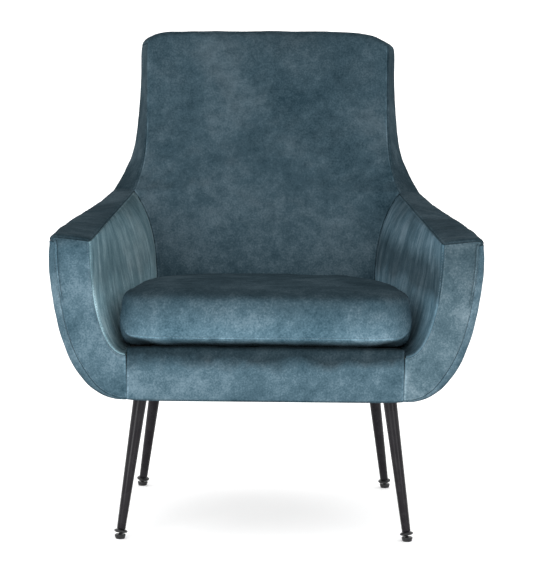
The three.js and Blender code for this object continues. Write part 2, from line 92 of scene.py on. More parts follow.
# The back's side edges from the arms' joint up to the top corners: half width, depth and height.
OUTER_SIDE = np.vstack([
    OUTER_REAR_RIM,
    MM * np.array([(278, 248, 594), (261, 285, 630), (251, 312, 680), (247, 330, 740)]),
    (246 * MM, 356 * MM, CORNER_Z - 3 * MM),
])
INNER_SIDE = np.vstack([
    INNER_REAR_RIM,
    MM * np.array([(243, 173, 594), (235, 188, 630), (231, 209, 680), (230, 236, 744)]),
    (231 * MM, 276 * MM, CORNER_Z + 6 * MM),
])

# Sewing: how far rounded corners reach on each side of their edge, and the shape of a seam.
OUTER_CORNER_FRONT = 16 * MM
OUTER_CORNER_REAR = 12 * MM
INNER_CORNER = 9 * MM
FACING_CORNER_BASE = 8 * MM
FACING_CORNER_OUT = 20 * MM
FACING_CORNER_IN = 10 * MM
FACING_INSET_OUT = 14 * MM
FACING_INSET_IN = 1.5 * MM
FACING_INSET_BASE = 2 * MM
FACING_BASE_FADE = 0.11  # length of seam above the base over which its inset and round grow
RIM_WRAP = 12 * MM  # the rim band turns this far over the outside
SIDE_LENGTH = 0.31  # of the back's side above the arms' joint
CORNER_FADE = 30 * MM  # the wrap's turn at the back's top corners dies out over about this length
BESIDE_EDGE = 0.96  # share across the back of a point just inside its side edge
BELOW_TOP = 0.98  # share up the back of a point just under its top edge
SEAM_WIDTH = 2.6 * MM
SEAM_DEPTH = 1.6 * MM
FLAT_SEAM = 0.4  # tightness of the seams between the arm facings and the front rail
PANEL_THICKNESS = 4.5 * MM
PUFF = 2.0 * MM
PUFF_REACH = 20 * MM
STITCH_INSET = 3 * MM
STITCH_SIDES = 5
STITCH_RINGS = 5
NEAR_SEAM = np.array([0, 0.6, 1.3, 2.1, 3.0, 4.2, 6.0, 9.0, 13.0]) * MM
PANEL_STEP = 5.5 * MM
RIPPLE_WAVES = 9
RAIL_TUCK = 28 * MM  # how far the front rail's cover runs in under the shell and back over the deck
RAIL_COVER = 5.4 * MM  # the rail's cover lies this much above the deck pad
RAIL_LIP = 7.5 * MM  # the rail's padded front edge stands this much above the deck behind it


# ---- Small maths ---------------------------------------------------------------------------------
def lerp(a, b, t):
    return a + (b - a) * t


def smooth(t):
    t = np.clip(t, 0, 1)
    return t * t * (3 - 2 * t)


def bell(x, middle, spread):
    return np.exp(-(((x - middle) / spread) ** 2))


def unit(v):
    return v / np.maximum(np.linalg.norm(v, axis=-1, keepdims=True), 1e-12)


def travelled(points):
    """Distances along a line of points, from its start."""
    gaps = np.linalg.norm(np.diff(points, axis=0), axis=1)
    return np.concatenate([[0], np.cumsum(gaps)])


def sampled(where, along, points):
    """Points at distances where on a line of points that lie at distances along."""
    return np.stack([np.interp(where, along, column) for column in points.T], -1)


def spline(points, t):
    """Points of a centripetal Catmull-Rom curve through points, at shares t of its spans."""
    spans = len(points) - 1
    padded = np.vstack([2 * points[0] - points[1], points, 2 * points[-1] - points[-2]])
    place = np.clip(t, 0, 1) * spans
    index = np.minimum(place.astype(int), spans - 1)
    w = (place - index)[:, None]
    p0, p1, p2, p3 = (padded[index + k] for k in range(4))
    gap0, gap1, gap2 = (
        np.sqrt(np.linalg.norm(b - a, axis=1))[:, None] for a, b in ((p0, p1), (p1, p2), (p2, p3))
    )
    m1 = ((p1 - p0) / gap0 - (p2 - p0) / (gap0 + gap1) + (p2 - p1) / gap1) * gap1
    m2 = ((p2 - p1) / gap1 - (p3 - p1) / (gap1 + gap2) + (p3 - p2) / gap2) * gap1
    cubic = 2 * p1 - 2 * p2 + m1 + m2
    square = -3 * p1 + 3 * p2 - 2 * m1 - m2
    return p1 + m1 * w + square * w**2 + cubic * w**3


def soften(distance, reach):
    """How far a rounded corner leaves its two sides, at a distance from the corner."""
    return np.clip(reach - distance, 0, None) ** 2 / (4 * reach)


def shares(length):
    """Shares of a length that lie close together near its two ends, where the seams are."""
    middle_length = length - 2 * NEAR_SEAM[-1]
    count = max(2, round(middle_length / PANEL_STEP))
    middle = NEAR_SEAM[-1] + middle_length * np.arange(1, count) / count
    return np.concatenate([NEAR_SEAM, middle, length - NEAR_SEAM[::-1]]) / length


def ripple(seed, u, v, size):
    """Smooth unevenness between about -1 and 1, in waves of about that size."""
    dice = np.random.default_rng(seed)
    total = np.zeros(np.broadcast(u, v).shape)
    for _ in range(RIPPLE_WAVES):
        angle, phase = dice.uniform(0, 2 * math.pi, 2)
        length = size * dice.uniform(0.7, 1.7)
        total += np.sin(2 * math.pi * (u * math.cos(angle) + v * math.sin(angle)) / length + phase)
    return total / math.sqrt(RIPPLE_WAVES)


# ---- The tub's surfaces --------------------------------------------------------------------------
def arm_outer(c, d):
    """c runs from the rear corner seam (0) to the arm front (1), d from the base (0) to the rim (1)."""
    angle = d * math.pi / 2
    power = 2 / OUTER_FULLNESS
    rear, front = OUTER_REAR_RIM, OUTER_FRONT_RIM
    rim_y = lerp(rear[1], FRONT_Y, c)
    rim_x = lerp(rear[0], front[0], c) + OUTER_BULGE * np.sin(math.pi * c)
    rim_z = front[1] + (rear[2] - front[1]) * np.exp((rim_y - rear[1]) / RIM_SWEEP)
    base_x = lerp(OUTER_REAR_BASE[0], RAIL_HALF, c)
    base_y = lerp(OUTER_REAR_BASE[1], FRONT_Y, c)
    x = lerp(base_x, rim_x, np.sin(angle) ** power)
    z = lerp(BASE_Z, rim_z, 1 - np.clip(np.cos(angle), 0, 1) ** power)
    return np.stack(np.broadcast_arrays(x, lerp(base_y, rim_y, d), z), -1)


def arm_inner(c, d):
    angle = d * math.pi / 2
    power = 2 / INNER_FULLNESS
    rear, front = INNER_REAR_RIM, INNER_FRONT_RIM
    rim_x = lerp(rear[0], front[0], c) + INNER_BULGE * np.sin(math.pi * c)
    rim_z = lerp(front[1], rear[2], (1 - c) ** INNER_RIM_RISE)
    base_x = lerp(INNER_REAR_BASE[0], INNER_FRONT_BASE_X, c)
    scoop = smooth(c)
    x = lerp(base_x, rim_x, lerp(d**INNER_REAR_FLARE, np.sin(angle) ** power, scoop))
    y = lerp(lerp(INNER_REAR_BASE[1], rear[1], d), FRONT_Y, c)
    z = lerp(DECK_Z, rim_z, lerp(d, 1 - np.clip(np.cos(angle), 0, 1) ** power, scoop))
    return np.stack(np.broadcast_arrays(x, y, z), -1)


def back_edge(b, arm_surface, side):
    """The back's right side edge: the arm's rear edge up to their joint, then the curve through side."""
    low = arm_surface(np.zeros_like(b), np.minimum(b / JOINT, 1))
    high = spline(side, (b.ravel() - JOINT) / (1 - JOINT)).reshape(*b.shape, 3)
    return np.where((b <= JOINT)[..., None], low, high)


def crowned(z, a, b, across):
    """Heights z of the back with its top edge raised between the corners."""
    power, bend = (np.where(a < 0, left, right) for left, right in zip(LEFT_CORNER, RIGHT_CORNER))
    crown = CORNER_DROP * np.clip(1 - across**power, 0, 1) ** bend + TOP_LEAN * a * (1 - a * a)
    return z + np.clip((b - JOINT) / (1 - JOINT), 0, 1) ** 3 * crown


def back_outer(a, b):
    """a runs from the left edge (-1) to the right (1), b from the base (0) to the top (1)."""
    angle = np.abs(a) * math.pi / 2
    power = 2 / BACK_PLAN_POWER
    across = np.sin(angle) ** power
    forward = 1 - np.clip(np.cos(angle), 0, 1) ** power
    edge = back_edge(b, arm_outer, OUTER_SIDE)
    z = crowned(edge[..., 2], a, b, across)
    spine_y = lerp(BACK_BASE_Y, REAR_Y, (z - BASE_Z) / (TOP_Z - BASE_Z))
    return np.stack([np.sign(a) * edge[..., 0] * across, lerp(spine_y, edge[..., 1], forward), z], -1)


def back_inner(a, b):
    edge = back_edge(b, arm_inner, INNER_SIDE)
    z = crowned(edge[..., 2], a, b, np.abs(a))
    above = z - DECK_Z
    spine_y = INNER_SPINE_Y + INNER_SPINE_LEAN * above + INNER_SPINE_BEND * above**2
    return np.stack([a * edge[..., 0], lerp(spine_y, edge[..., 1], a * a), z], -1)


class Section:
    """The arm's section at one c: up the outside, over the top and down the inside, with rounded rims.

    seams gives the distances along it at which the arm's covers meet, from its base to the deck.
    """

    def __init__(self, c):
        d = np.linspace(0, 1, 160)
        along = np.full_like(d, c)
        outer = arm_outer(along, d)
        inner = arm_inner(along, d)[::-1]
        top = lerp(outer[-1], inner[0], np.linspace(0, 1, 40)[1:-1, None])
        self.points = np.vstack([outer, top, inner])
        self.lengths = travelled(self.points)
        self.total = self.lengths[-1]
        self.outer_rim = self.lengths[len(outer) - 1]
        self.inner_rim = self.lengths[len(outer) + len(top)]
        self.across = unit(inner[0] - outer[-1])
        self.down_outside = unit(outer[-8] - outer[-1])
        self.down_inside = unit(inner[7] - inner[0])
        self.reach = lerp(OUTER_CORNER_REAR, OUTER_CORNER_FRONT, smooth((c - 0.7) / 0.3))
        self.seams = {
            "base": 0.0,
            "outer": self.outer_rim - RIM_WRAP,
            "inner": self.inner_rim,
            "deck": self.total - 1 * MM,
        }

    def at(self, s):
        raw = sampled(s, self.lengths, self.points)
        outer = soften(np.abs(s - self.outer_rim), self.reach)[..., None]
        inner = soften(np.abs(s - self.inner_rim), INNER_CORNER)[..., None]
        return raw + outer * (self.down_outside + self.across) + inner * (self.down_inside - self.across)


FRONT = Section(1.0)
REAR_CORNER = Section(0.0)


def front_inward(s):
    """Unit vectors from the arm front's outline towards its middle."""
    step = 1.5 * MM
    along = FRONT.at(np.minimum(s + step, FRONT.total)) - FRONT.at(np.maximum(s - step, 0))
    return unit(np.stack([-along[..., 2], np.zeros_like(s), along[..., 0]], -1))


def over_the_top(s):
    """0 up the outside of the arm front's outline, 1 over its top and down its inside."""
    return smooth((s - FRONT.outer_rim + 22 * MM) / (30 * MM))


def along_facing(s, base, outside, inside):
    """A measure of the facing's seam that changes on its way up the outside and over the top."""
    return lerp(lerp(base, outside, smooth(s / FACING_BASE_FADE)), inside, over_the_top(s))


def front_inset(s):
    """How far in from the outline the seam of the arm facing runs."""
    return along_facing(s, FACING_INSET_BASE, FACING_INSET_OUT, FACING_INSET_IN)


def front_reach(s):
    """How far the front edge's round reaches on each side of it."""
    return along_facing(s, FACING_CORNER_BASE, FACING_CORNER_OUT, FACING_CORNER_IN)


def arm_skin(section, s, to_front):
    """Points on the arm's side skin. to_front is the distance left to the front edge."""
    front_s = s * FRONT.total / section.total
    turn = front_inward(front_s) + np.array([0, 1, 0])
    return section.at(s) + soften(to_front, front_reach(front_s))[..., None] * turn


def front_skin(s, inset):
    """Points on the arm front, inset from its outline."""
    inward = front_inward(s)
    turn = inward + np.array([0, 1, 0])
    return FRONT.at(s) + inset[..., None] * inward + soften(inset, front_reach(s))[..., None] * turn


# ---- Meshes --------------------------------------------------------------------------------------
def linked(name, data):
    """A new object in the scene that holds data."""
    obj = bpy.data.objects.new(name, data)
    bpy.context.scene.collection.objects.link(obj)
    return obj


def new_object(name, vertices, faces):
    mesh = bpy.data.meshes.new(name)
    mesh.from_pydata([tuple(v) for v in vertices], [], faces)
    mesh.update()
    mesh.polygons.foreach_set("use_smooth", [True] * len(mesh.polygons))
    return linked(name, mesh)


def outward(obj):
    work = bmesh.new()
    work.from_mesh(obj.data)
    bmesh.ops.recalc_face_normals(work, faces=work.faces)
    work.to_mesh(obj.data)
    work.free()
    return obj


def grid_quads(rows, columns):
    index = np.arange(rows * columns).reshape(rows, columns)
    return np.stack([index[:-1, :-1], index[1:, :-1], index[1:, 1:], index[:-1, 1:]], -1).reshape(-1, 4)


def ringed_faces(rings, sides, first=0):
    """Faces of a closed body through rings of points, with a flat cap on its first and its last ring."""
    faces = []
    last = first + (rings - 1) * sides
    for low in range(first, last, sides):
        for k in range(sides):
            after = (k + 1) % sides
            faces.append((low + k, low + after, low + sides + after, low + sides + k))
    return faces + [tuple(range(first, first + sides))[::-1], tuple(range(last, last + sides))]


def closed_shell(name, upper, lower):
    """A thin closed body between two grids of points, with walls round their borders."""
    rows, columns = upper.shape[:2]
    count = rows * columns
    top = grid_quads(rows, columns)
    index = np.arange(count).reshape(rows, columns)
    border = np.concatenate([index[0, :], index[1:, -1], index[-1, -2::-1], index[-2:0:-1, 0]])
    after = np.roll(border, -1)
    walls = np.stack([border, after, after + count, border + count], -1)
    faces = np.concatenate([top, top[:, ::-1] + count, walls])
    return outward(new_object(name, np.concatenate([upper, lower]).reshape(-1, 3), faces.tolist()))


def grid_normals(points, side):
    """Normals of a grid of points, on the side that the direction side points to."""
    normals = unit(np.cross(np.gradient(points, axis=0), np.gradient(points, axis=1)))
    return normals if np.sum(normals * side) > 0 else -normals


def edge_distances(points):
    """Distances along the grid from its first and last row, and from its first and last column."""
    found = []
    for axis in (0, 1):
        gaps = np.linalg.norm(np.diff(points, axis=axis), axis=2)
        start = np.zeros_like(np.take(gaps, [0], axis=axis))
        along = np.concatenate([start, np.cumsum(gaps, axis=axis)], axis=axis)
        found += [along, np.take(along, [-1], axis=axis) - along]
    return found


def seam_roll(distance):
    """How far a cloth edge has rolled down into its seam, from 0 to 1."""
    t = np.clip(1 - distance / SEAM_WIDTH, 0, 1)
    return 1 - np.sqrt(1 - t * t)


def stitch_dip(distance):
    """How deep topstitching draws the cloth down, at a distance from the seam."""
    return 0.6 * MM * bell(distance, STITCH_INSET, 0.9 * MM)


def store(obj, name, values, kind="FLOAT"):
    attribute = obj.data.attributes.new(name, kind, "POINT")
    field = "value" if kind == "FLOAT" else "vector"
    attribute.data.foreach_set(field, np.ascontiguousarray(values, np.float32).ravel())


class Panel:
    """A padded cover panel over a grid of points.

    side points out of its face. sewn says how tightly each edge is drawn into a seam: first row, last row,
    first column, last column. stitched says which of them have a row of topstitching beside them.
    """

    def __init__(
        self, name, points, side, sewn=(1, 1, 1, 1), stitched=(0, 0, 0, 0), puff=PUFF, seed=1, folds=None
    ):
        self.distances = edge_distances(points)
        self.normals = grid_normals(points, side)
        swell = np.full(points.shape[:2], puff)
        roll = np.ones(points.shape[:2])
        seam = np.full(points.shape[:2], 1.0)
        for distance, tightness, is_stitched in zip(self.distances, sewn, stitched):
            if tightness:
                swell = swell * (1 - np.exp(-distance / PUFF_REACH))
                roll = roll * (1 - tightness * seam_roll(distance))
                seam = np.minimum(seam, distance)
            if is_stitched:
                swell = swell - stitch_dip(distance)
        u, v = self.distances[0], self.distances[2]
        uneven = 0.8 * MM * ripple(seed, u, v, 95 * MM) + 0.35 * MM * ripple(seed + 1, u, v, 34 * MM)
        uneven = uneven * smooth((points[..., 2] - BASE_Z) / (30 * MM))
        pucker = 0.3 * MM * ripple(seed + 2, u, v, 15 * MM) * np.exp(-seam / (9 * MM))
        height = swell + (uneven * (1 - np.exp(-seam / (15 * MM))) + pucker) * roll
        if folds is not None:
            height = height + folds(self.distances) * roll
        self.upper = points + self.normals * (height - SEAM_DEPTH * (1 - roll))[..., None]
        self.object = closed_shell(name, self.upper, points - self.normals * PANEL_THICKNESS)
        cloth = np.stack([u, v, np.zeros_like(u)], -1).reshape(-1, 3)
        store(self.object, "cloth", np.concatenate([cloth, cloth]), "FLOAT_VECTOR")
        store(self.object, "seam", np.concatenate([seam.ravel(), seam.ravel()]))

    def line_beside(self, edge):
        """Points and normals of the stitching line that runs on the panel beside one of its edges."""
        distance, points, normals = self.distances[edge], self.upper, self.normals
        if edge < 2:
            distance, points, normals = distance.T, points.transpose(1, 0, 2), normals.transpose(1, 0, 2)
        if edge % 2:
            distance, points, normals = distance[:, ::-1], points[:, ::-1], normals[:, ::-1]
        found = [
            [sampled(STITCH_INSET, along, row) for along, row in zip(distance, values)]
            for values in (points, normals)
        ]
        return np.array(found[0]), unit(np.array(found[1]))


def mirrored(obj, name):
    """A copy of obj on the other side of the chair's middle plane."""
    mesh = obj.data.copy()
    mesh.name = name
    mesh.transform(Matrix.Scale(-1, 4, (1, 0, 0)))
    mesh.flip_normals()
    return linked(name, mesh)


def place(obj, material, slot, body=SHELL, replaces=()):
    obj.data.materials.clear()
    obj.data.materials.append(material)
    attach(obj, body)
    if replaces:
        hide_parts(*replaces)
    return obj


def add_cover(obj, material, node):
    """Makes obj a padded velvet cover of the shell in place of a CAD node."""
    place(obj, material, "velvet", replaces=[node])


def stitch(points, normals, radius):
    """Rings of points round one stitch, which dives into the cloth at both ends."""
    up = unit(normals)
    side = np.cross(unit(np.gradient(points, axis=0)), up)
    arch = np.sin(math.pi * np.linspace(0, 1, len(points)))[:, None]
    centre = points + up * radius * (1.3 * arch - 0.8)
    size = (radius * lerp(0.55, 1, arch))[:, None]
    turns = 2 * math.pi * np.arange(STITCH_SIDES) / STITCH_SIDES
    around = np.cos(turns)[:, None] * side[:, None] + np.sin(turns)[:, None] * up[:, None]
    return (centre[:, None] + size * around).reshape(-1, 3)


def thread(name, lines, length=3.4 * MM, gap=1.3 * MM, radius=0.42 * MM):
    """Rows of stitches along lines of points and normals."""
    vertices, faces = [], []
    for points, normals in lines:
        along = travelled(points)
        for start in np.arange(length, along[-1] - 2 * length, length + gap):
            where = start + length * np.linspace(0, 1, STITCH_RINGS)
            faces += ringed_faces(STITCH_RINGS, STITCH_SIDES, len(vertices))
            vertices.extend(stitch(sampled(where, along, points), sampled(where, along, normals), radius))
    return outward(new_object(name, vertices, faces))


def lathe(name, profile, matrix, sides=40):
    """A closed solid of revolution through (radius, height) points, from axis to axis, moved by matrix."""
    turns = 2 * math.pi * np.arange(sides) / sides
    vertices = [(0, 0, profile[0][1])]
    for radius, height in profile[1:-1]:
        vertices += [(radius * math.cos(t), radius * math.sin(t), height) for t in turns]
    vertices.append((0, 0, profile[-1][1]))
    faces = []
    for k in range(sides):
        n = (k + 1) % sides
        faces.append((0, 1 + n, 1 + k))
        for ring in range(len(profile) - 3):
            low, high = 1 + ring * sides, 1 + (ring + 1) * sides
            faces.append((low + k, low + n, high + n, high + k))
        last = 1 + (len(profile) - 3) * sides
        faces.append((last + k, last + n, len(vertices) - 1))
    obj = new_object(name, vertices, faces)
    obj.data.transform(matrix)
    return obj


# ---- Materials -----------------------------------------------------------------------------------
class Nodes:
    """A short way to write a material's nodes. Values may be sockets, numbers or colours."""

    def __init__(self, name):
        self.material = bpy.data.materials.new(name)
        self.material.use_nodes = True
        self.tree = self.material.node_tree
        self.tree.nodes.clear()
        output = self.tree.nodes.new("ShaderNodeOutputMaterial")
        self.shader = self.tree.nodes.new("ShaderNodeBsdfPrincipled")
        self.tree.links.new(self.shader.outputs["BSDF"], output.inputs["Surface"])
        self.coordinates = self.tree.nodes.new("ShaderNodeTexCoord")
        self.here = self.coordinates.outputs["Object"]

    def feed(self, socket, value):
        if isinstance(value, bpy.types.NodeSocket):
            self.tree.links.new(value, socket)
        elif isinstance(value, tuple):
            socket.default_value = (*value, 1) if len(socket.default_value) == 4 else value
        else:
            socket.default_value = value

    def set(self, **values):
        for key, value in values.items():
            self.feed(self.shader.inputs[key.replace("_", " ")], value)

    def attribute(self, name, output):
        node = self.tree.nodes.new("ShaderNodeAttribute")
        node.attribute_name = name
        return node.outputs[output]

    def z_of(self, vector):
        node = self.tree.nodes.new("ShaderNodeSeparateXYZ")
        self.feed(node.inputs[0], vector)
        return node.outputs["Z"]

    def noise(self, source, scale, detail, roughness, stretch=(1, 1, 1), shift=(0, 0, 0), distortion=0.0):
        mapping = self.tree.nodes.new("ShaderNodeMapping")
        self.feed(mapping.inputs["Scale"], stretch)
        self.feed(mapping.inputs["Location"], shift)
        self.feed(mapping.inputs["Vector"], source)
        node = self.tree.nodes.new("ShaderNodeTexNoise")
        settings = {"Scale": scale, "Detail": detail, "Roughness": roughness, "Distortion": distortion}
        for key, value in {**settings, "Vector": mapping.outputs["Vector"]}.items():
            self.feed(node.inputs[key], value)
        return node.outputs["Fac"]

    def ramp(self, source, *stops):
        node = self.tree.nodes.new("ShaderNodeValToRGB")
        elements = node.color_ramp.elements
        while len(elements) < len(stops):
            elements.new(0.5)
        for element, (position, colour) in zip(elements, stops):
            element.position = position
            element.color = (*colour, 1) if isinstance(colour, tuple) else (colour, colour, colour, 1)
        self.feed(node.inputs["Fac"], source)
        return node.outputs["Color"]

    def multiplied(self, colour, factor):
        node = self.tree.nodes.new("ShaderNodeMix")
        node.data_type = "RGBA"
        node.blend_type = "MULTIPLY"
        for socket, value in ((node.inputs[0], 1.0), (node.inputs[6], colour), (node.inputs[7], factor)):
            self.feed(socket, value)
        return node.outputs[2]

    def math(self, operation, a, b):
        node = self.tree.nodes.new("ShaderNodeMath")
        node.operation = operation
        self.feed(node.inputs[0], a)
        self.feed(node.inputs[1], b)
        return node.outputs[0]

    def weighted(self, *terms):
        """The sum of sockets times weights."""
        total = 0.0
        for source, weight in terms:
            total = self.math("ADD", self.math("MULTIPLY", source, weight), total)
        return total

    def span(self, source, low, high, low_value=0.0, high_value=1.0):
        """source from low to high becomes low_value to high_value, smoothly."""
        node = self.tree.nodes.new("ShaderNodeMapRange")
        node.interpolation_type = "SMOOTHSTEP"
        values = (low, high, low_value, high_value)
        self.feed(node.inputs[0], source)
        for socket, value in zip(node.inputs[1:5], values):
            socket.default_value = value
        return node.outputs[0]

    def bump(self, source, strength, distance):
        node = self.tree.nodes.new("ShaderNodeBump")
        self.feed(node.inputs["Strength"], strength)
        self.feed(node.inputs["Distance"], distance)
        self.feed(node.inputs["Height"], source)
        self.feed(self.shader.inputs["Normal"], node.outputs["Normal"])


VELVET_DARK = (0.020, 0.043, 0.058)
VELVET_MID = (0.050, 0.088, 0.112)
VELVET_LIGHT = (0.115, 0.170, 0.205)


def velvet(name, tone=1.0, tint=(1, 1, 1), level=0.35, shade_slopes=(0.1, 0.85), height_shading=(), streak=0.0, seed=0.0):
    """Crushed velvet: cloudy light and dark nap over a fine grain, with a painted highlight along its seams.

    Painted shade darkens cloth that faces up: its tone there is level times the upright one. Painted shade
    darkens it too where the cloth faces down. shade_slopes gives the upward slopes between which the painted
    shade comes in. height_shading gives heights, and how the tone changes there: painted light and shade.
    streak is the share of brush marks and painted light and shade of wide folds that run down the panel.
    """
    n = Nodes(name)
    shift = (seed, seed * 0.37, -seed * 0.61)
    cloud = n.noise(n.here, 13.0, 4.0, 0.55, shift=shift, distortion=0.25)
    wide = n.noise(n.here, 5.2, 2.0, 0.5, shift=shift)
    blotch = n.noise(n.here, 60.0, 4.0, 0.6, shift=shift)
    grain = n.noise(n.here, 300.0, 2.5, 0.7)
    value = n.weighted((cloud, 0.36), (wide, 0.17), (blotch, 0.19), (grain, 0.28))
    if streak:
        cloth = n.attribute("cloth", "Vector")
        fine = n.noise(cloth, 15.0, 5.0, 0.65, stretch=(10, 1, 1), shift=shift, distortion=0.2)
        # Painted light and shade of wide folds, in long bands down the panel; fine holds the brush marks.
        fold_shading = n.noise(cloth, 12.0, 2.0, 0.5, stretch=(3.2, 1, 1), shift=shift, distortion=0.2)
        value = n.weighted((value, 1 - streak), (fine, 0.5 * streak), (fold_shading, 0.5 * streak))
    shades = (VELVET_DARK, VELVET_MID, VELVET_LIGHT)
    dark, middle, light = (tuple(c * tone * t for c, t in zip(shade, tint)) for shade in shades)
    colour = n.ramp(value, (0.38, dark), (0.5, middle), (0.63, light))
    # Painted shade on cloth that faces up: its tone falls to level times the upright one between the
    # shade_slopes.
    # The clouds make these limits uneven. They are 0.5 on average, so the limits move by half their weight.
    upward = n.z_of(n.coordinates.outputs["Normal"])
    slope = n.weighted((upward, 1.0), (cloud, 0.5))
    upright, flat = (z + 0.25 for z in shade_slopes)
    colour = n.multiplied(colour, n.span(slope, upright, flat, 1.0, level))
    # Painted shade where the cloth faces down: its tone falls to 0.55 of the upright one.
    colour = n.multiplied(colour, n.span(upward, -0.85, -0.25, 0.55, 1.0))
    # Painted light and shade by height: the tone is multiplied by the ramp's factor at each given height.
    if height_shading:
        height = n.weighted((cloud, 0.06), (n.z_of(n.here), 1.0))
        stops = [(z + 0.03, change) for z, change in height_shading]
        colour = n.multiplied(colour, n.ramp(height, *stops))
    # Painted highlight: the cloth's rolled crest just beside each seam is lightened patchily, by up to 40
    # percent.
    seam = n.attribute("seam", "Fac")
    crest = n.math("MULTIPLY", n.span(seam, 0.6 * MM, 2.2 * MM), n.span(seam, 2.6 * MM, 5.0 * MM, 1.0, 0.0))
    seam_highlight = n.math("MULTIPLY", crest, n.span(blotch, 0.35, 0.65, 0.1, 0.4))
    colour = n.multiplied(colour, n.math("ADD", seam_highlight, 1.0))
    n.set(Base_Color=colour, Roughness=0.9, IOR=1.12, Specular_IOR_Level=0.1)
    n.set(Sheen_Weight=0.02, Sheen_Roughness=0.4, Sheen_Tint=(0.45, 0.66, 0.78))
    n.bump(n.weighted((grain, 1.0), (blotch, 0.7)), 0.5, 0.6 * MM)
    return n.material


def heights(base_z, *stops):
    """Stops whose heights are given in millimetres above base_z."""
    return [(base_z + rise * MM, value) for rise, value in stops]


def cloth_thread(name, tone):
    n = Nodes(name)
    fibre = n.noise(n.here, 1400.0, 2.0, 0.6)
    dark, light = (tuple(tone * c for c in colour) for colour in (VELVET_DARK, VELVET_LIGHT))
    n.set(Base_Color=n.ramp(fibre, (0.35, dark), (0.65, light)), Roughness=0.55)
    n.bump(fibre, 0.4, 0.1 * MM)
    return n.material


def black_metal():
    """Satin powder coat: fine orange peel and slightly uneven gloss."""
    n = Nodes("satin_black_metal")
    peel = n.noise(n.here, 1100.0, 2.0, 0.5)
    wear = n.noise(n.here, 45.0, 3.0, 0.6)
    n.set(Base_Color=n.ramp(wear, (0.35, (0.005, 0.004, 0.006)), (0.7, (0.010, 0.009, 0.011))))
    n.set(Roughness=n.ramp(wear, (0.3, 0.22), (0.75, 0.32)), Specular_IOR_Level=0.16)
    n.bump(peel, 0.12, 0.08 * MM)
    return n.material


def black_nylon():
    n = Nodes("black_nylon")
    grain = n.noise(n.here, 1500.0, 2.0, 0.5)
    scuff = n.noise(n.here, 110.0, 4.0, 0.65)
    n.set(Base_Color=n.ramp(scuff, (0.4, (0.008, 0.008, 0.009)), (0.75, (0.02, 0.02, 0.021))))
    n.set(Roughness=0.38, Specular_IOR_Level=0.3)
    n.bump(grain, 0.15, 0.06 * MM)
    return n.material


def spun_cloth(name, dark, light, scale=900.0):
    """Non-woven or plainly woven cloth: crossed fibres with faint patches."""
    n = Nodes(name)
    warp = n.noise(n.here, scale, 2.0, 0.6, stretch=(1, 0.12, 1))
    weft = n.noise(n.here, scale, 2.0, 0.6, stretch=(0.12, 1, 1))
    patch = n.noise(n.here, 25.0, 3.0, 0.6)
    fibre = n.weighted((warp, 0.5), (weft, 0.5))
    n.set(Base_Color=n.ramp(n.weighted((fibre, 0.65), (patch, 0.35)), (0.38, dark), (0.62, light)))
    n.set(Roughness=0.92, Specular_IOR_Level=0.2)
    n.bump(fibre, 0.45, 0.3 * MM)
    return n.material


def cut_foam():
    n = Nodes("cut_foam")
    cells = n.noise(n.here, 800.0, 3.0, 0.7)
    n.set(Base_Color=n.ramp(cells, (0.35, (0.55, 0.5, 0.36)), (0.65, (0.82, 0.78, 0.62))), Roughness=0.95)
    n.bump(cells, 0.5, 0.4 * MM)
    return n.material


def sawn_timber():
    n = Nodes("sawn_timber")
    grain = n.noise(n.here, 30.0, 5.0, 0.65, stretch=(1, 0.15, 2.5), distortion=0.6)
    n.set(Base_Color=n.ramp(grain, (0.3, (0.28, 0.16, 0.07)), (0.7, (0.52, 0.35, 0.19))), Roughness=0.75)
    n.bump(grain, 0.3, 0.4 * MM)
    return n.material


def bright_steel(name, colour):
    n = Nodes(name)
    patch = n.noise(n.here, 80.0, 3.0, 0.6)
    n.set(Base_Color=n.ramp(patch, (0.3, tuple(0.75 * c for c in colour)), (0.7, colour)))
    n.set(Metallic=1.0, Roughness=n.ramp(patch, (0.3, 0.3), (0.7, 0.45)))
    n.bump(patch, 0.1, 0.1 * MM)
    return n.material


# ---- Arm panels ----------------------------------------------------------------------------------
FRONT_SHARES = (0.16, 0.32, 0.46, 0.58, 0.7, 0.79, 0.87, 0.94, 1.0)


def arm_rows(first, last, rear=NEAR_SEAM):
    """A grid over part of the arm's skin, from the rear seam round the front edge to the facing's seam.

    first and last name the seams of its two long edges, and rear gives its first rows' distances from the
    rear seam.
    """
    near = ARM_LENGTH - rear
    middle = np.arange(near[-1] - PANEL_STEP, 20 * MM, -PANEL_STEP)
    to_front = np.concatenate([near, middle, np.linspace(18, 0, 9) * MM])
    spread = shares(FRONT.seams[last] - FRONT.seams[first])
    rows = []
    for distance in to_front:
        section = Section(1 - distance / ARM_LENGTH)
        s = lerp(section.seams[first], section.seams[last], spread)
        rows.append(arm_skin(section, s, distance))
    s = lerp(FRONT.seams[first], FRONT.seams[last], spread)
    rows += [front_skin(s, share * front_inset(s)) for share in FRONT_SHARES]
    return np.array(rows)


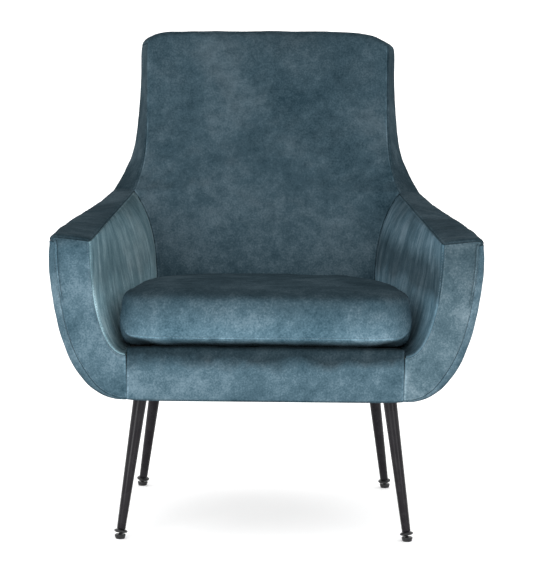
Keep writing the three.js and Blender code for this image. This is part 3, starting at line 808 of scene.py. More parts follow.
def facing_grid():
    """A patch inside the facing's seam: rows run from the base to the top, columns from outside to inside."""
    corner_out, corner_in = FRONT.seams["outer"], FRONT.seams["inner"]
    t = shares(0.29)
    k = shares(0.06)
    left_s = corner_out * t
    right_s = lerp(FRONT.total, corner_in, t)
    top_s = lerp(corner_out, corner_in, k)
    left, right, top = (front_skin(s, front_inset(s)) for s in (left_s, right_s, top_s))
    base = lerp(left[0], right[0], k[:, None])
    tt, kk = t[:, None, None], k[None, :, None]
    ruled = lerp(left[:, None], right[:, None], kk) + lerp(base[None], top[None], tt)
    grid = ruled - lerp(lerp(left[0], right[0], kk), lerp(left[-1], right[-1], kk), tt)
    # The patch leaves its seam on the same round as the covers beside it, and flattens inside.
    _, from_top, from_left, from_right = edge_distances(grid)
    rounds = [
        soften(front_inset(left_s)[:, None] + from_left, front_reach(left_s)[:, None]),
        soften(front_inset(right_s)[:, None] + from_right, front_reach(right_s)[:, None]),
        soften(front_inset(top_s)[None] + from_top, front_reach(top_s)[None]),
    ]
    grid[..., 1] = FRONT_Y + np.maximum.reduce(rounds)
    return grid


def point_on(surface, a, b):
    return surface(np.array([a]), np.array([b]))[0]


def corner_ways(surface):
    """Unit vectors from a back surface's top right corner: along the top and down the side."""
    corner = point_on(surface, 1.0, 1.0)
    beside, below = point_on(surface, BESIDE_EDGE, 1.0), point_on(surface, 1.0, BELOW_TOP)
    return unit(beside - corner), unit(below - corner)


def over_rim(outer, inner, outside, inside, share):
    """Points over the back's rim, from RIM_WRAP down its outside to the inside seam.

    outer and inner are points on its two edges, and outside and inside the directions that leave them.
    """
    width = np.linalg.norm(inner - outer, axis=-1, keepdims=True)
    across = (inner - outer) / width
    s = lerp(-RIM_WRAP, width, share)
    flat = outer + across * np.maximum(s, 0) + outside * np.maximum(-s, 0)
    outer_round = soften(np.abs(s), OUTER_CORNER_REAR) * (across + outside)
    return flat + outer_round + soften(width - s, INNER_CORNER) * (inside - across)


def side_row(b, share):
    """A row of the rim band up the back's side, from the outside over the edge to the inside."""
    turn = smooth((b - JOINT) / JOINT_TURN)
    to_top = (1 - b) / (1 - JOINT) * SIDE_LENGTH
    corners, ways = [], []
    for surface, down, fade in (
        (back_outer, REAR_CORNER.down_outside, CORNER_FADE),
        (back_inner, REAR_CORNER.down_inside, INNER_CORNER),
    ):
        corner = point_on(surface, 1.0, b)
        way = unit(lerp(down, unit(point_on(surface, BESIDE_EDGE, b) - corner), turn))
        corners.append(corner)
        ways.append(way + math.exp(-to_top / fade) * corner_ways(surface)[1])
    return over_rim(*corners, *ways, share[:, None])


def rim_band():
    """The band's grid: from the arm front back along the arm's top, then up the back's side."""
    arm = arm_rows("outer", "inner", np.array([0, 4, 9]) * MM)
    across_share = shares(FRONT.seams["inner"] - FRONT.seams["outer"])
    climb = shares(SIDE_LENGTH)
    upward = lerp(JOINT, 1, climb[climb > 4 * MM / SIDE_LENGTH])
    return np.concatenate([arm[::-1], [side_row(b, across_share) for b in upward]])


def arm_folds(distances):
    """Brushed drapes that fall from the arm's rim, and small gathers at its seam."""
    along, down = distances[0], distances[2]
    drape = ripple(31, along, 0.06 * down, 30 * MM) * smooth(down / (30 * MM))
    gather = ripple(32, along, 0.15 * down, 11 * MM) * np.exp(-down / (22 * MM))
    return 0.25 * MM * drape + 0.4 * MM * gather


def add_pair(panel, right_material, left_material, node):
    right = panel.object
    left = mirrored(right, right.name.replace("right_", "left_"))
    add_cover(right, right_material, f"right_{node}")
    add_cover(left, left_material, f"left_{node}")


def add_arms():
    out = np.array([1.0, 0, 0])
    ahead = np.array([0, 1.0, 0])
    rim_z = OUTER_FRONT_RIM[1]
    # Each arm panel's copy of the velvet gets its own tone, tint and height stops, which paint that panel's
    # light and shade; the rim band's low tone is painted shade on the arms' tops.
    left_front = velvet("velvet_left_facing", 1.08, height_shading=heights(rim_z, (-30, 1.0), (-8, 0.55)), seed=1.3)
    right_front = velvet(
        "velvet_right_facing", 1.25, (1.08, 1.0, 0.96), seed=2.9,
        height_shading=heights(rim_z, (-230, 1.0), (-120, 0.86), (-30, 0.58)),
    )
    outer = velvet("velvet_outside_arms", 1.0, seed=5.2)
    band = velvet("velvet_rim_band", 0.38, level=0.75, seed=9.4)
    left_inner = velvet(
        "velvet_left_inside_arm", 1.95, (1.1, 1.04, 0.95), streak=0.5, seed=3.1,
        height_shading=heights(DECK_Z, (80, 1.25), (120, 0.8), (160, 0.85), (190, 0.95)),
    )
    right_inner = velvet(
        "velvet_right_inside_arm", 0.95, streak=0.5, seed=7.7,
        height_shading=heights(DECK_Z, (80, 1.7), (110, 0.65), (140, 0.6), (175, 1.3)),
    )
    outside_arm = Panel("right_outside_arm", arm_rows("base", "outer"), out, stitched=(0, 1, 0, 0), seed=11)
    inside_arm = Panel(
        "right_inside_arm", arm_rows("inner", "deck"), -out, stitched=(0, 1, 0, 0), seed=12, folds=arm_folds
    )
    facing = Panel(
        "right_facing", facing_grid(), -ahead, (FLAT_SEAM, 1, 1, 1), stitched=(0, 0, 1, 1), seed=13
    )
    rim = Panel("right_rim", rim_band(), np.array([0.3, 0, 1.0]), seed=14)
    add_pair(outside_arm, outer, outer, "outside_arm_cover")
    add_pair(inside_arm, right_inner, left_inner, "inside_arm_cover")
    add_pair(facing, right_front, left_front, "arm_facing")
    add_pair(rim, band, band, "rim_band")
    lines = [cover.line_beside(1) for cover in (outside_arm, inside_arm)]
    lines += [facing.line_beside(edge) for edge in (2, 3)]
    right = place(thread("right_arm_stitching", lines), cloth_thread("arm_thread", 0.8), "velvet")
    place(mirrored(right, "left_arm_stitching"), right.data.materials[0], "velvet")


# ---- Back panels ---------------------------------------------------------------------------------
def wrap_shift(b):
    """How the outer seam of the back leaves the tub's edge: down below the arms' joint, then behind it."""
    edge = back_outer(np.ones_like(b), b)
    behind = unit(back_outer(np.full_like(b, BESIDE_EDGE), b) - edge)
    turn = smooth((b - JOINT) / JOINT_TURN)[:, None]
    direction = unit(lerp(REAR_CORNER.down_outside, behind, turn))
    return RIM_WRAP * smooth((b - JOINT + JOINT_START) / JOINT_START)[:, None] * direction


def outside_back_grid():
    a = 2 * shares(0.55) - 1
    b = shares(0.62)
    aa, bb = np.meshgrid(a, b)
    outer = back_outer(aa, bb)
    shift = wrap_shift(b)
    _, from_top, from_left, from_right = edge_distances(outer)
    inward = unit(back_inner(aa, bb) - outer)
    turn = smooth((bb - JOINT) / JOINT_TURN)
    grid = outer.copy()
    for from_side, sign in ((from_left, -1), (from_right, 1)):
        fade = np.exp(-from_side / CORNER_FADE)
        grid += fade[..., None] * (shift * np.array([sign, 1, 1]))[:, None]
        grid += (soften(from_side + RIM_WRAP, OUTER_CORNER_REAR) * turn)[..., None] * inward
    down = unit(back_outer(a, np.full_like(a, BELOW_TOP)) - outer[-1])
    return grid + (RIM_WRAP * np.exp(-from_top / CORNER_FADE))[..., None] * down


def inside_back_grid():
    a = 2 * shares(0.5) - 1
    b = lerp(0.02, 1, shares(0.58))
    aa, bb = np.meshgrid(a, b)
    grid = back_inner(aa, bb)
    _, from_top, from_left, from_right = edge_distances(grid)
    rearward = unit(back_outer(aa, bb) - grid)
    turn = smooth((bb - JOINT) / JOINT_TURN)
    for from_side, column, beside in ((from_left, 0, 3), (from_right, -1, -4)):
        inward = unit(grid[:, beside] - grid[:, column])[:, None]
        grid = grid + (soften(from_side, INNER_CORNER) * turn)[..., None] * (inward + rearward)
    down = unit(grid[-4] - grid[-1])
    return grid + soften(from_top, INNER_CORNER)[..., None] * (down + rearward)


def top_band_grid():
    """The band over the back's top: columns run from RIM_WRAP down the rear face to the inside seam."""
    a = 2 * shares(0.5) - 1
    edges, ways = [], []
    for surface, fade in ((back_outer, CORNER_FADE), (back_inner, INNER_CORNER)):
        edge = surface(a, np.ones_like(a))
        along_top = corner_ways(surface)[0]
        along = travelled(edge)
        down = unit(surface(a, np.full_like(a, BELOW_TOP)) - edge)
        down += np.exp(-along / fade)[:, None] * along_top * np.array([-1, 1, 1])
        down += np.exp(-(along[-1] - along) / fade)[:, None] * along_top
        edges.append(edge)
        ways.append(down)
    return np.stack([over_rim(*edges, *ways, share) for share in shares(0.09 + RIM_WRAP)], 1)


def add_back():
    front = np.array([0, -1.0, 0])
    up = np.array([0, 0, 1.0])
    inside = Panel("inside_back", inside_back_grid(), front, (0, 1, 1, 1), puff=4 * MM, seed=21)
    outside = Panel("outside_back", outside_back_grid(), -front, (0, 1, 1, 1), seed=22)
    top = Panel("top_rim", top_band_grid(), up, seed=23)
    # The tones of the back panels' copies of the velvet paint their light and shade; the top band's low tone
    # and level are painted shade on the back's top.
    add_cover(inside.object, velvet("velvet_back", 0.7, seed=2.2), "inside_back_cover")
    add_cover(outside.object, velvet("velvet_outside_back", 0.8, seed=4.4), "outside_back_cover")
    add_cover(top.object, velvet("velvet_top_band", 0.5, level=0.5, seed=6.6), "top_rim_band")


# ---- Front rail, deck and dust cover -------------------------------------------------------------
def rail_grid():
    """From under the shell, up the front rail and over onto the seat deck."""
    height = DECK_Z + RAIL_COVER + RAIL_LIP - BASE_Z
    low, high = RAIL_TUCK, RAIL_TUCK + height
    tuck = np.linspace(0, RAIL_TUCK, 5)
    path = np.concatenate([tuck[:-1], low + shares(height) * height, high + tuck[1:]])
    round_low = soften(np.abs(path - low), 8 * MM)
    round_high = soften(np.abs(path - high), 13 * MM)
    y = FRONT_Y + np.clip(low - path, 0, None) + np.clip(path - high, 0, None) + round_low + round_high
    z = BASE_Z + np.clip(path - low, 0, height) + round_low - round_high
    z = z - RAIL_LIP * smooth((path - high) / (20 * MM))
    half = RAIL_HALF + 0.7 * MM  # its ends press into the arm facings
    x = lerp(-half, half, shares(2 * half))
    return np.stack(np.broadcast_arrays(x[None], y[:, None], z[:, None]), -1)


def rail_folds(distances):
    """A few short gathers hang from the rail's top edge near its left end."""
    from_top, from_left = distances[1], distances[2]
    where = bell(from_left, 45 * MM, 38 * MM) * bell(from_top, 38 * MM, 22 * MM)
    return 1.1 * MM * where * ripple(41, from_left, 0.25 * from_top, 14 * MM)


def sheet_grid(front_half, front_y, rear_x, rear_y, z):
    """A level grid from a straight front edge to a curved rear edge."""
    depth = np.linspace(0, 1, 60)[:, None]
    a = np.linspace(-1, 1, len(rear_x))[None]
    x = lerp(a * front_half, rear_x[None], depth)
    y = lerp(front_y, rear_y[None], depth)
    return np.stack([x, y, np.full_like(x, z)], -1)


def add_sheet(name, grid, thickness, material, node):
    sheet = closed_shell(name, grid, grid - np.array([0, 0, thickness]))
    place(sheet, material, "lining", replaces=[node])


def add_front_rail():
    rail = Panel(
        "front_rail_panel", rail_grid(), np.array([0, -1.0, 0.1]), (0, 0, FLAT_SEAM, FLAT_SEAM),
        seed=42, folds=rail_folds,
    )
    # Painted shadow under the cushion: the rail's tone falls to 0.28 towards its top edge.
    height_shading = heights(DECK_Z, (-28, 1.0), (-7, 0.28))
    add_cover(rail.object, velvet("velvet_front_rail", 1.05, height_shading=height_shading, seed=8.8), "front_rail_cover")


def add_linings():
    lining = spun_cloth("black_lining", (0.008, 0.008, 0.009), (0.03, 0.03, 0.032))
    a = np.linspace(-1, 1, 61)
    under = back_outer(a, np.zeros_like(a))
    dust = sheet_grid(RAIL_HALF - 2 * MM, FRONT_Y + 8 * MM, under[:, 0] * 0.99, under[:, 1] - 2 * MM, 0)
    edge = np.minimum.reduce(edge_distances(dust))
    sag = 1.2 * MM + 0.4 * MM * ripple(51, dust[..., 0], dust[..., 1], 60 * MM)
    dust[..., 2] = BASE_Z + 1.0 * MM - sag * smooth((edge - 70 * MM) / (90 * MM))
    add_sheet("dust_lining", dust, 0.8 * MM, lining, "dust_cover")
    _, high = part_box("deck_cover")
    rear_half = INNER_REAR_BASE[0] - 3 * MM
    rear_y = lerp(high.y, INNER_REAR_BASE[1] - 3 * MM, a * a)
    deck = sheet_grid(high.x, FRONT_Y + RAIL_TUCK + 2 * MM, a * rear_half, rear_y, high.z - 0.2 * MM)
    deck[..., 2] += 0.15 * MM * ripple(52, deck[..., 0], deck[..., 1], 50 * MM)
    add_sheet("deck_lining", deck, 2.4 * MM, lining, "deck_cover")


# ---- Seat cushion --------------------------------------------------------------------------------
CUSHION_LOW, CUSHION_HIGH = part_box("cushion_cover")
CUSHION_FRONT_HALF = CUSHION_HIGH.x
CUSHION_REAR_HALF = 200 * MM
CUSHION_CORNER = 78 * MM
CUSHION_MIDDLE = (0.0, (CUSHION_LOW.y + CUSHION_HIGH.y) / 2, (CUSHION_LOW.z + CUSHION_HIGH.z) / 2)
CUSHION_HALF_HEIGHT = (CUSHION_HIGH.z - CUSHION_LOW.z) / 2
UNDER_INSET = 14 * MM
CROWN_INSET = 50 * MM
CROWN_RISE_FRONT = 10 * MM
CROWN_RISE_REAR = -14 * MM
FRONT_LIFT = 9 * MM  # the underside is lifted this much at the front, over the rail's lip
FRONT_SEAM_ANGLE = math.radians(-46)  # the seam runs low across the front, and round the middle elsewhere
CROWN_TURN_Y = 150 * MM  # behind the cushion's front edge, where its crown starts to fall to the rear
CLOTH_RINGS = 40
CLOTH_FRAMES = 20
CLOTH_PRESSURE = 4.0
CLOTH_CAP = 3.5 * MM  # the furthest that the pressure moves the cloth
FINE_RING_STEP = 4.5 * MM
CUSHION_REACH = 0.26  # about the way from the seam over a panel to its middle


def cushion_outline(turns):
    """Plan points at shares of the way round a tapered, round-cornered rectangle from its front's middle."""
    front_x, front_y = CUSHION_FRONT_HALF - CUSHION_CORNER, CUSHION_LOW.y + CUSHION_CORNER
    rear_x, rear_y = CUSHION_REAR_HALF - CUSHION_CORNER, CUSHION_HIGH.y - CUSHION_CORNER
    centres = ((front_x, front_y), (rear_x, rear_y), (-rear_x, rear_y), (-front_x, front_y))
    points = [(0, CUSHION_LOW.y)]
    for corner, (x, y) in enumerate(centres):
        for angle in (corner - 1 + np.linspace(0, 1, 24)) * math.pi / 2:
            points.append((x + CUSHION_CORNER * math.cos(angle), y + CUSHION_CORNER * math.sin(angle)))
    points = np.array(points + [(0, CUSHION_LOW.y)])
    length = np.linalg.norm(np.diff(points, axis=0), axis=1).sum()
    return sampled(turns % 1.0, travelled(points) / length, points)


def seam_angle(y):
    """The seam's place on the cushion's section: 0 is its middle height, negative is lower."""
    return FRONT_SEAM_ANGLE * smooth((CUSHION_LOW.y + 64 * MM - y) / (42 * MM))


def cushion_half(turns, upper):
    """Section curves of one panel of the cushion, from the seam to its middle: [turn, step, xyz]."""
    outline = cushion_outline(turns)
    start = seam_angle(outline[:, 1])[:, None]
    end = math.pi / 2 if upper else -math.pi / 2
    angle = lerp(start, end, np.linspace(0, 1, 90)[None])
    turned = 1 - np.clip(np.cos(angle), 0, 1)
    drawn_in = np.where(angle < 0, UNDER_INSET * turned**1.7, CROWN_INSET * turned**3)
    scale = 1 - drawn_in / CUSHION_FRONT_HALF
    z = CUSHION_HALF_HEIGHT * np.sin(angle)
    inwards = np.linspace(1, 0, 40)[None, 1:]
    scale = np.concatenate([scale, scale[:, -1:] * inwards], 1)
    z = np.concatenate([z, np.repeat(z[:, -1:], inwards.shape[1], 1)], 1)
    x = outline[:, :1] * scale
    y = CUSHION_MIDDLE[1] + (outline[:, 1:] - CUSHION_MIDDLE[1]) * scale
    depth = CUSHION_HIGH.y - CUSHION_LOW.y
    rearward = smooth((y - CUSHION_LOW.y - CROWN_TURN_Y) / (depth - CROWN_TURN_Y))
    rise = lerp(CROWN_RISE_FRONT, CROWN_RISE_REAR, rearward)
    lift = FRONT_LIFT * smooth((CUSHION_LOW.y + 60 * MM - y) / (30 * MM))
    share = z / CUSHION_HALF_HEIGHT
    z = z + np.clip(share, 0, 1) * rise + np.clip(-share, 0, 1) * lift
    return np.stack([x, y, CUSHION_MIDDLE[2] + z], -1)


def square_rings(rings):
    """Ring number and turn of every point of a square grid of that many rings round its middle."""
    i, j = np.meshgrid(np.arange(-rings, rings + 1), np.arange(-rings, rings + 1), indexing="ij")
    ring = np.maximum(np.abs(i), np.abs(j))
    safe = np.maximum(ring, 1)
    side = np.select([(j == -ring), (i == ring), (j == ring)], [0, 1, 2], 3)
    along = np.select([side == 0, side == 1, side == 2], [i + safe, j + safe, safe - i], safe - j)
    turn = (side + along / (2 * safe)) / 4 - 1 / 8
    return ring, turn % 1.0


def ring_table(surface, steps):
    """Resamples section curves to given shares of their length: [turn, ring, xyz]."""
    table = []
    for curve in surface:
        along = travelled(curve)
        table.append(sampled(steps, along / along[-1], curve))
    return np.array(table)


def from_table(table, rings):
    """Points of a square grid from a table: a row for each turn, a column for each ring from the seam."""
    ring, turn = square_rings(rings)
    place_in = turn * len(table)
    low = np.floor(place_in).astype(int) % len(table)
    part = (place_in - np.floor(place_in))[..., None]
    column = rings - ring
    return lerp(table[low, column], table[(low + 1) % len(table), column], part)


def to_table(grid, rings, turns):
    """The table of a square grid's points, at evenly spaced turns."""
    ring, turn = square_rings(rings)
    table = np.empty((turns, rings + 1, 3))
    wanted = np.arange(turns) / turns
    for number in range(rings + 1):
        here = ring == number
        order = np.argsort(turn[here])
        found, points = turn[here][order], grid[here][order]
        for k in range(3):
            table[:, rings - number, k] = np.interp(wanted, found, points[:, k], period=1.0)
    return table


def sewn_square(upper, lower, rings):
    """Vertices and faces of two square grids that share their border."""
    size = 2 * rings + 1
    ring, _ = square_rings(rings)
    on_border = (ring == rings).ravel()
    lower_index = np.arange(size * size)
    lower_index[~on_border] = size * size + np.arange((~on_border).sum())
    top = grid_quads(size, size)
    bottom = lower_index[top][:, ::-1]
    vertices = np.concatenate([upper.reshape(-1, 3), lower.reshape(-1, 3)[~on_border]])
    return vertices, np.concatenate([top, bottom]), lower_index, on_border


def blow_up(vertices, faces, pinned):
    """Cloth simulation: the cover swells under pressure, held along its seam."""
    obj = new_object("cloth_start", vertices, faces.tolist())
    group = obj.vertex_groups.new(name="seam")
    group.add(np.flatnonzero(pinned).tolist(), 1.0, "REPLACE")
    cloth = obj.modifiers.new("cloth", "CLOTH")
    settings = cloth.settings
    settings.quality = 6
    settings.mass = 0.3
    settings.tension_stiffness = 18
    settings.compression_stiffness = 14
    settings.shear_stiffness = 6
    settings.bending_stiffness = 0.6
    settings.use_pressure = True
    settings.uniform_pressure_force = CLOTH_PRESSURE
    settings.vertex_group_mass = "seam"
    settings.effector_weights.gravity = 0
    cloth.collision_settings.use_collision = False
    cloth.point_cache.frame_start = 1
    cloth.point_cache.frame_end = CLOTH_FRAMES
    scene = bpy.context.scene
    for number in range(1, CLOTH_FRAMES + 1):
        scene.frame_set(number)
    found = obj.evaluated_get(bpy.context.evaluated_depsgraph_get()).data
    moved = np.empty(len(found.vertices) * 3)
    found.vertices.foreach_get("co", moved)
    scene.frame_set(1)
    bpy.data.objects.remove(obj)
    shift = moved.reshape(-1, 3) - vertices
    length = np.linalg.norm(shift, axis=1, keepdims=True)
    return vertices + shift / np.maximum(length, 1e-9) * CLOTH_CAP * np.tanh(length / CLOTH_CAP)


def calmed(grid):
    """The grid with its small creases evened out, and its border left as it is."""
    grid = grid.copy()
    for _ in range(3):
        around = grid[:-2, 1:-1] + grid[2:, 1:-1] + grid[1:-1, :-2] + grid[1:-1, 2:]
        grid[1:-1, 1:-1] = lerp(grid[1:-1, 1:-1], around / 4, 0.6)
    return grid


def cushion_tables(turns):
    """Tables of the finished upper and lower cover panels, before their seams."""
    even = np.linspace(0, 1, CLOTH_RINGS + 1)
    around = np.arange(turns) / turns
    tables = [ring_table(cushion_half(around, upper), even) for upper in (True, False)]
    upper, lower = (from_table(table, CLOTH_RINGS) for table in tables)
    vertices, faces, lower_index, on_border = sewn_square(upper, lower, CLOTH_RINGS)
    pinned = np.zeros(len(vertices), bool)
    pinned[:len(on_border)] = on_border
    moved = blow_up(vertices, faces, pinned)
    upper = calmed(moved[:len(on_border)].reshape(upper.shape))
    lower = calmed(moved[lower_index].reshape(lower.shape))
    lower[..., 2] = np.maximum(lower[..., 2], CUSHION_LOW.z)  # it rests on the deck
    return [to_table(grid, CLOTH_RINGS, turns) for grid in (upper, lower)]


def finish_half(table, side, seed, rings, steps):
    """Adds the seam, the puckers beside it and slight dents to one panel of the cushion.

    Gives the grid's points, their normals and their distances from the seam.
    """
    curves = np.array([spline(curve, np.linspace(0, 1, 4 * CLOTH_RINGS)) for curve in table])
    grid = from_table(ring_table(curves, steps), rings)
    ring, turn = square_rings(rings)
    length = np.array([travelled(curve)[-1] for curve in curves])
    reach = np.interp(turn, np.arange(len(length)) / len(length), length, period=1.0)
    seam = steps[rings - ring] * reach
    normals = grid_normals(grid, side)
    roll = 1 - seam_roll(seam)
    u, v = grid[..., 0], grid[..., 1]
    dents = 1.1 * MM * ripple(seed, u, v, 120 * MM) + 0.35 * MM * ripple(seed + 1, u, v, 40 * MM)
    around = turn * 1.7  # metres: the seam's length is about this
    pucker = 0.45 * MM * ripple(seed + 2, around, 0.2 * seam, 24 * MM) * np.exp(-seam / (11 * MM))
    height = (dents * (1 - np.exp(-seam / (25 * MM))) + pucker) * roll
    height = height - stitch_dip(seam) - SEAM_DEPTH * (1 - roll)
    return grid + normals * height[..., None], normals, seam


def topstitch_line(grid, normals, rings):
    """The ring of the upper panel that lies beside the seam, as an open line that starts at the rear."""
    ring, turn = square_rings(rings)
    here = ring == rings - int(np.flatnonzero(np.isclose(NEAR_SEAM, STITCH_INSET))[0])
    order = np.argsort((turn[here] + 0.5) % 1.0)
    return grid[here][order], normals[here][order]


def add_cushion():
    tables = cushion_tables(8 * CLOTH_RINGS)
    count = round((CUSHION_REACH - NEAR_SEAM[-1]) / FINE_RING_STEP)
    inner_steps = lerp(NEAR_SEAM[-1] / CUSHION_REACH, 1, np.arange(1, count + 1) / count)
    steps = np.concatenate([NEAR_SEAM / CUSHION_REACH, inner_steps])
    rings = len(steps) - 1
    up = np.array([0, 0, 1.0])
    upper, normals, upper_seam = finish_half(tables[0], up, 61, rings, steps)
    lower, _, lower_seam = finish_half(tables[1], -up, 64, rings, steps)
    vertices, faces, _, on_border = sewn_square(upper, lower, rings)
    cover = outward(new_object("seat_cushion_cover", vertices, faces.tolist()))
    store(cover, "seam", np.concatenate([upper_seam.ravel(), lower_seam.ravel()[~on_border]]))
    # Painted shade on the cushion: its tone falls to 0.43 towards its top, and level darkens its upper face.
    height_shading = heights(CUSHION_LOW.z, (26, 1.0), (84, 0.43))
    material = velvet("velvet_cushion", 1.5, level=0.45, shade_slopes=(0.3, 0.98), height_shading=height_shading, seed=12.5)
    place(cover, material, "velvet", "seat_cushion", ["cushion_cover", "cushion_foam"])
    stitches = thread("cushion_stitching", [topstitch_line(upper, normals, rings)])
    place(stitches, cloth_thread("cushion_thread", 0.9), "velvet", "seat_cushion")


def add_zip():
    """The cushion's zip, along its rear seam: a tape, two rows of coil teeth and a slider with its pull."""
    low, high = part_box("cushion_zip")
    half, middle_z, face_y = high.x - 2 * MM, (low.z + high.z) / 2, high.y
    x, z = np.meshgrid(np.linspace(-half, half, 90), np.linspace(-4, 4, 9) * MM)
    bulge = 1.1 * MM * (1 - (z / (4.6 * MM)) ** 2) + 0.15 * MM * ripple(71, x, z, 30 * MM)
    face = np.stack([x, face_y + bulge, middle_z + z], -1)
    tape = closed_shell("tape", face, face - np.array([0, 2.4 * MM, 0]))
    line_x = np.linspace(4 * MM - half, half - 4 * MM, 60)
    rearward = np.tile([0, 1.0, 0], (len(line_x), 1))
    lines = []
    for row_z in (middle_z - 0.75 * MM, middle_z + 0.75 * MM):
        points = np.stack(np.broadcast_arrays(line_x, face_y + 1.3 * MM, row_z), -1)
        lines.append((points, rearward))
    teeth = thread("teeth", lines, length=1.1 * MM, gap=0.5 * MM, radius=0.6 * MM)
    slider_at = (half - 10 * MM, face_y + 2.2 * MM, middle_z)
    slider = rounded_block("slider", (8 * MM, 2.6 * MM, 6 * MM), 1 * MM, slider_at)
    pull_at = (half - 20 * MM, face_y + 4 * MM, middle_z)
    pull = rounded_block("pull", (16 * MM, 1 * MM, 4 * MM), 0.45 * MM, pull_at)
    zip_closed = joined("cushion_zip_closed", [tape, teeth, slider, pull])
    nylon = spun_cloth("zip_nylon", (0.01, 0.016, 0.02), (0.035, 0.05, 0.06), 1500.0)
    place(zip_closed, nylon, "zip", "seat_cushion", ["cushion_zip"])


# ---- Legs and glides -----------------------------------------------------------------------------
CORNERS = ("front_left", "front_right", "rear_left", "rear_right")
BALL_Z = 5.6 * MM
BALL_RADIUS = 4.4 * MM
NECK_RADIUS = 2.6 * MM
PLATE_THICKNESS = 3 * MM
PLATE_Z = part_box("front_left_leg")[1].z - PLATE_THICKNESS
PLATE_OFFSET = 6 * MM  # the mounting plate stands this far inwards of its tube's top
SCREW_SPREAD = 18 * MM
TUBE_FOOT_RADIUS = 7.6 * MM
TUBE_TOP_RADIUS = 12.4 * MM
COLLAR_END = 11 * MM  # up the leg from the ball's centre
COLLAR_RADIUS = 12 * MM
COLLAR_LIP = 5 * MM  # the collar's turned underside comes down this near to the ball's centre
STEM_RADIUS = 4 * MM
STEM_LENGTH = 30 * MM
PAD_HEIGHT = 8 * MM


def middle_of(node):
    """The middle of a node's box in plan: (x, y)."""
    low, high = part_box(node)
    return (low.x + high.x) / 2, (low.y + high.y) / 2


def arc(radius, height, start, end):
    """(radius, height) points of an arc about (0, height), between two angles."""
    angles = np.linspace(start, end, 8)
    return [(max(0.0, radius * math.cos(t)), height + radius * math.sin(t)) for t in angles]


def rounded(profile, radius):
    """The (radius, height) profile with its inner points rounded off."""
    points = [np.array(p, float) for p in profile]
    made = [points[0]]
    for before, at, after in zip(points, points[1:], points[2:]):
        to_before, to_after = before - at, after - at
        cut = min(radius, 0.45 * np.linalg.norm(to_before), 0.45 * np.linalg.norm(to_after))
        start, end = at + unit(to_before) * cut, at + unit(to_after) * cut
        for t in np.linspace(0, 1, 4):
            made.append(lerp(lerp(start, at, t), lerp(at, end, t), t))
    made.append(points[-1])
    return [tuple(p) for p in made]


def leaning(foot, top):
    """The matrix of a frame at the glide's ball whose +Z runs up the leg, and the leg's length."""
    start = Vector((*foot, BALL_Z))
    along = Vector((*top, PLATE_Z)) - start
    return Matrix.Translation(start) @ along.to_track_quat("Z", "Y").to_matrix().to_4x4(), along.length


def from_bmesh(name, work):
    mesh = bpy.data.meshes.new(name)
    work.to_mesh(mesh)
    work.free()
    mesh.polygons.foreach_set("use_smooth", [True] * len(mesh.polygons))
    return linked(name, mesh)


def joined(name, parts):
    """One object from several meshes that are already in place."""
    work = bmesh.new()
    for part in parts:
        work.from_mesh(part.data)
        bpy.data.objects.remove(part)
    return outward(from_bmesh(name, work))


def rounded_block(name, size, bevel, middle):
    """A small block with rounded edges."""
    work = bmesh.new()
    bmesh.ops.create_cube(work, size=1)
    bmesh.ops.scale(work, vec=size, verts=work.verts)
    bmesh.ops.bevel(work, geom=work.edges[:], offset=bevel, segments=3, profile=0.5, affect="EDGES")
    bmesh.ops.translate(work, vec=middle, verts=work.verts)
    return from_bmesh(name, work)


def mounting_plate(x, y):
    """A square plate with rounded corners and edges."""
    half, corner, bevel = 25 * MM, 7 * MM, 0.7 * MM
    top_z = PLATE_Z + PLATE_THICKNESS
    layers = ((PLATE_Z, bevel), (PLATE_Z + bevel, 0), (top_z - bevel, 0), (top_z, bevel))
    outline = []
    for quarter, (sx, sy) in enumerate(((1, 1), (-1, 1), (-1, -1), (1, -1))):
        for angle in (quarter + np.linspace(0, 1, 8)) * math.pi / 2:
            outline.append((sx * (half - corner), sy * (half - corner), math.cos(angle), math.sin(angle)))
    vertices = [
        (x + cx + (corner - inset) * dx, y + cy + (corner - inset) * dy, z)
        for z, inset in layers
        for cx, cy, dx, dy in outline
    ]
    return new_object("plate", vertices, ringed_faces(len(layers), len(outline)))


def screw_head(x, y):
    """A countersunk screw's head, just proud of the plate's underside."""
    profile = MM * np.array([(0, -0.9), (2.6, -0.6), (4.1, 0.3), (0, 0.5)])
    return lathe("screw", rounded(profile, 0.4 * MM), Matrix.Translation((x, y, PLATE_Z)), 20)


def add_leg(corner, matrix, length, top, metal):
    """The tapered tube, welded to its mounting plate, and the plate's screws."""
    start = COLLAR_END + 0.4 * MM
    weld_radius, weld_z = TUBE_TOP_RADIUS + 2.6 * MM, length + 1.6 * MM
    profile = [
        (0, start), (TUBE_FOOT_RADIUS, start),
        (lerp(TUBE_FOOT_RADIUS, TUBE_TOP_RADIUS, 0.5), lerp(start, length, 0.5)),
        (TUBE_TOP_RADIUS, length - 1 * MM), (weld_radius, weld_z), (0, weld_z + 0.2 * MM),
    ]
    tube = lathe(f"{corner}_tube", rounded(profile, 1.2 * MM), matrix, 48)
    x, y = top[0] - math.copysign(PLATE_OFFSET, top[0]), top[1]
    screws = [screw_head(x + i * SCREW_SPREAD, y + j * SCREW_SPREAD) for i in (-1, 1) for j in (-1, 1)]
    leg = joined(f"{corner}_tapered_leg", [tube, mounting_plate(x, y), *screws])
    place(leg, metal, "leg_metal", replaces=[f"{corner}_leg"])


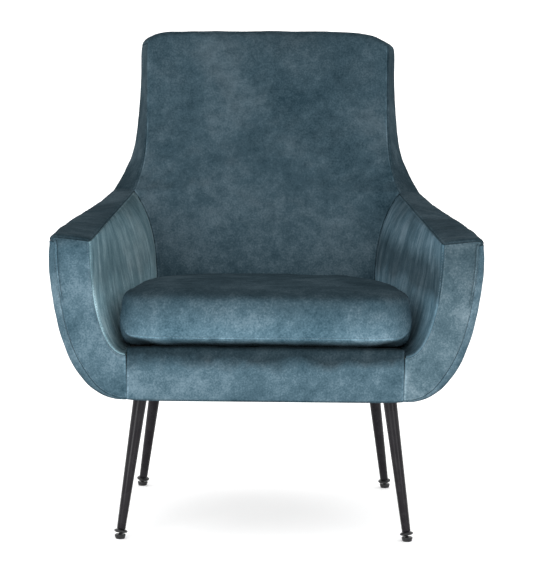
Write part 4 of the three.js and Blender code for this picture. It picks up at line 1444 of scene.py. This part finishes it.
def add_glide(corner, matrix, nylon):
    """The levelling glide: a ball under its collar, and a stem that screws into the tube."""
    profile = arc(BALL_RADIUS, 0, -math.pi / 2, math.acos(NECK_RADIUS / BALL_RADIUS))
    stem_end = COLLAR_END + STEM_LENGTH
    profile += rounded([
        (NECK_RADIUS, COLLAR_LIP - 0.3 * MM), (0.64 * COLLAR_RADIUS, COLLAR_LIP),
        (0.9 * COLLAR_RADIUS, COLLAR_LIP + 1.2 * MM), (COLLAR_RADIUS, COLLAR_LIP + 2.9 * MM),
        (0.97 * COLLAR_RADIUS, COLLAR_LIP + 4.2 * MM), (0.78 * COLLAR_RADIUS, COLLAR_END - 0.5 * MM),
        (TUBE_FOOT_RADIUS + 0.8 * MM, COLLAR_END), (STEM_RADIUS, COLLAR_END),
        (STEM_RADIUS, stem_end), (0, stem_end),
    ], 0.7 * MM)
    glide = lathe(f"{corner}_levelling_glide", profile, matrix)
    place(glide, nylon, "glide_plastic", f"{corner}_leveller", [f"{corner}_glide_stem"])


def add_glide_foot(corner, foot, nylon):
    """The swivel pad: a low round foot with a bowl for the ball."""
    socket = BALL_RADIUS + 0.35 * MM
    bowl = arc(socket, BALL_Z, math.asin((PAD_HEIGHT - BALL_Z) / socket), -math.pi / 2)
    profile = rounded([
        (0, 0), (7.4 * MM, 0), (8.4 * MM, 1 * MM),
        (9.8 * MM, PAD_HEIGHT - 1.4 * MM), (9.0 * MM, PAD_HEIGHT), bowl[0],
    ], 0.6 * MM)
    pad = lathe(f"{corner}_glide_foot", profile[:-1] + bowl, Matrix.Translation((*foot, 0)))
    place(pad, nylon, "glide_plastic", f"{corner}_pad", [f"{corner}_glide_pad"])


def add_legs():
    metal, nylon = black_metal(), black_nylon()
    for corner in CORNERS:
        foot, top = middle_of(f"{corner}_glide_pad"), middle_of(f"{corner}_leg_bolt")
        matrix, length = leaning(foot, top)
        add_leg(corner, matrix, length, top, metal)
        add_glide(corner, matrix, nylon)
        add_glide_foot(corner, foot, nylon)


# ---- The frame's own nodes -----------------------------------------------------------------------
def dress_frame():
    """Gives every CAD node a procedural material by its slot in the record."""
    materials = {
        "velvet": velvet("velvet_plain"),
        "foam": cut_foam(),
        "lining": spun_cloth("lining_plain", (0.008, 0.008, 0.009), (0.03, 0.03, 0.032)),
        "zip": spun_cloth("zip_tape", (0.01, 0.016, 0.02), (0.03, 0.045, 0.055), 1500.0),
        "webbing": spun_cloth("webbing", (0.02, 0.02, 0.022), (0.07, 0.07, 0.075), 500.0),
        "frame_timber": sawn_timber(),
        "spring_steel": bright_steel("spring_steel", (0.3, 0.3, 0.31)),
        "leg_metal": black_metal(),
        "bolt_steel": bright_steel("zinc_steel", (0.62, 0.63, 0.64)),
        "glide_plastic": black_nylon(),
    }
    for part in frame["record"]["subparts"]:
        data = frame["nodes"][part["node"]].data
        data.materials.clear()
        data.materials.append(materials[part["material_slot"]])


# ---- Stage ---------------------------------------------------------------------------------------
def add_stage():
    pale = Nodes("pale_floor")
    tone = pale.ramp(pale.noise(pale.here, 1.5, 2.0, 0.5), (0.3, 0.93), (0.7, 0.95))
    pale.set(Base_Color=tone, Roughness=0.9, Emission_Color=(1, 1, 1), Emission_Strength=0.19)
    reach = 150.0
    corners = [(-reach, -reach, 0), (reach, -reach, 0), (reach, reach, 0), (-reach, reach, 0)]
    floor = new_object("floor", corners, [(0, 1, 2, 3)])
    floor.data.materials.append(pale.material)


def area_light(name, place_at, aim, size, power):
    light = bpy.data.lights.new(name, "AREA")
    light.shape = "RECTANGLE"
    light.size, light.size_y = size
    light.energy = power
    obj = linked(name, light)
    obj.location = place_at
    obj.rotation_euler = (Vector(aim) - Vector(place_at)).to_track_quat("-Z", "Y").to_euler()


def add_light():
    world = bpy.data.worlds.new("studio")
    bpy.context.scene.world = world
    world.use_nodes = True
    sky = world.node_tree.nodes["Background"]
    sky.inputs["Color"].default_value = (1, 1, 1, 1)
    sky.inputs["Strength"].default_value = 1.45
    chest = (0, 0, 0.45)
    area_light("key", (-1.8, -3.4, 1.0), chest, (1.2, 1.6), 60)
    area_light("fill", (2.2, -3.4, 0.9), chest, (0.9, 1.6), 25)
    bpy.context.scene.view_settings.view_transform = "Standard"


def add_camera():
    """A long lens five metres in front and a metre up, which looks slightly down at the chair's middle."""
    data = bpy.data.cameras.new("camera")
    data.lens = 187.6
    data.clip_end = 400
    camera = linked("camera", data)
    place_at = Vector((-0.010, -5.354, 1.069))
    aim = Vector((0.008, -0.100, 0.434))
    lean = Matrix.Rotation(math.radians(0.6), 4, "Z")
    turn = (aim - place_at).to_track_quat("-Z", "Y").to_matrix().to_4x4() @ lean
    camera.matrix_world = Matrix.Translation(place_at) @ turn
    bpy.context.scene.camera = camera


add_camera()
add_light()
add_stage()
dress_frame()
add_arms()
add_back()
add_front_rail()
add_linings()
add_cushion()
add_zip()
add_legs()
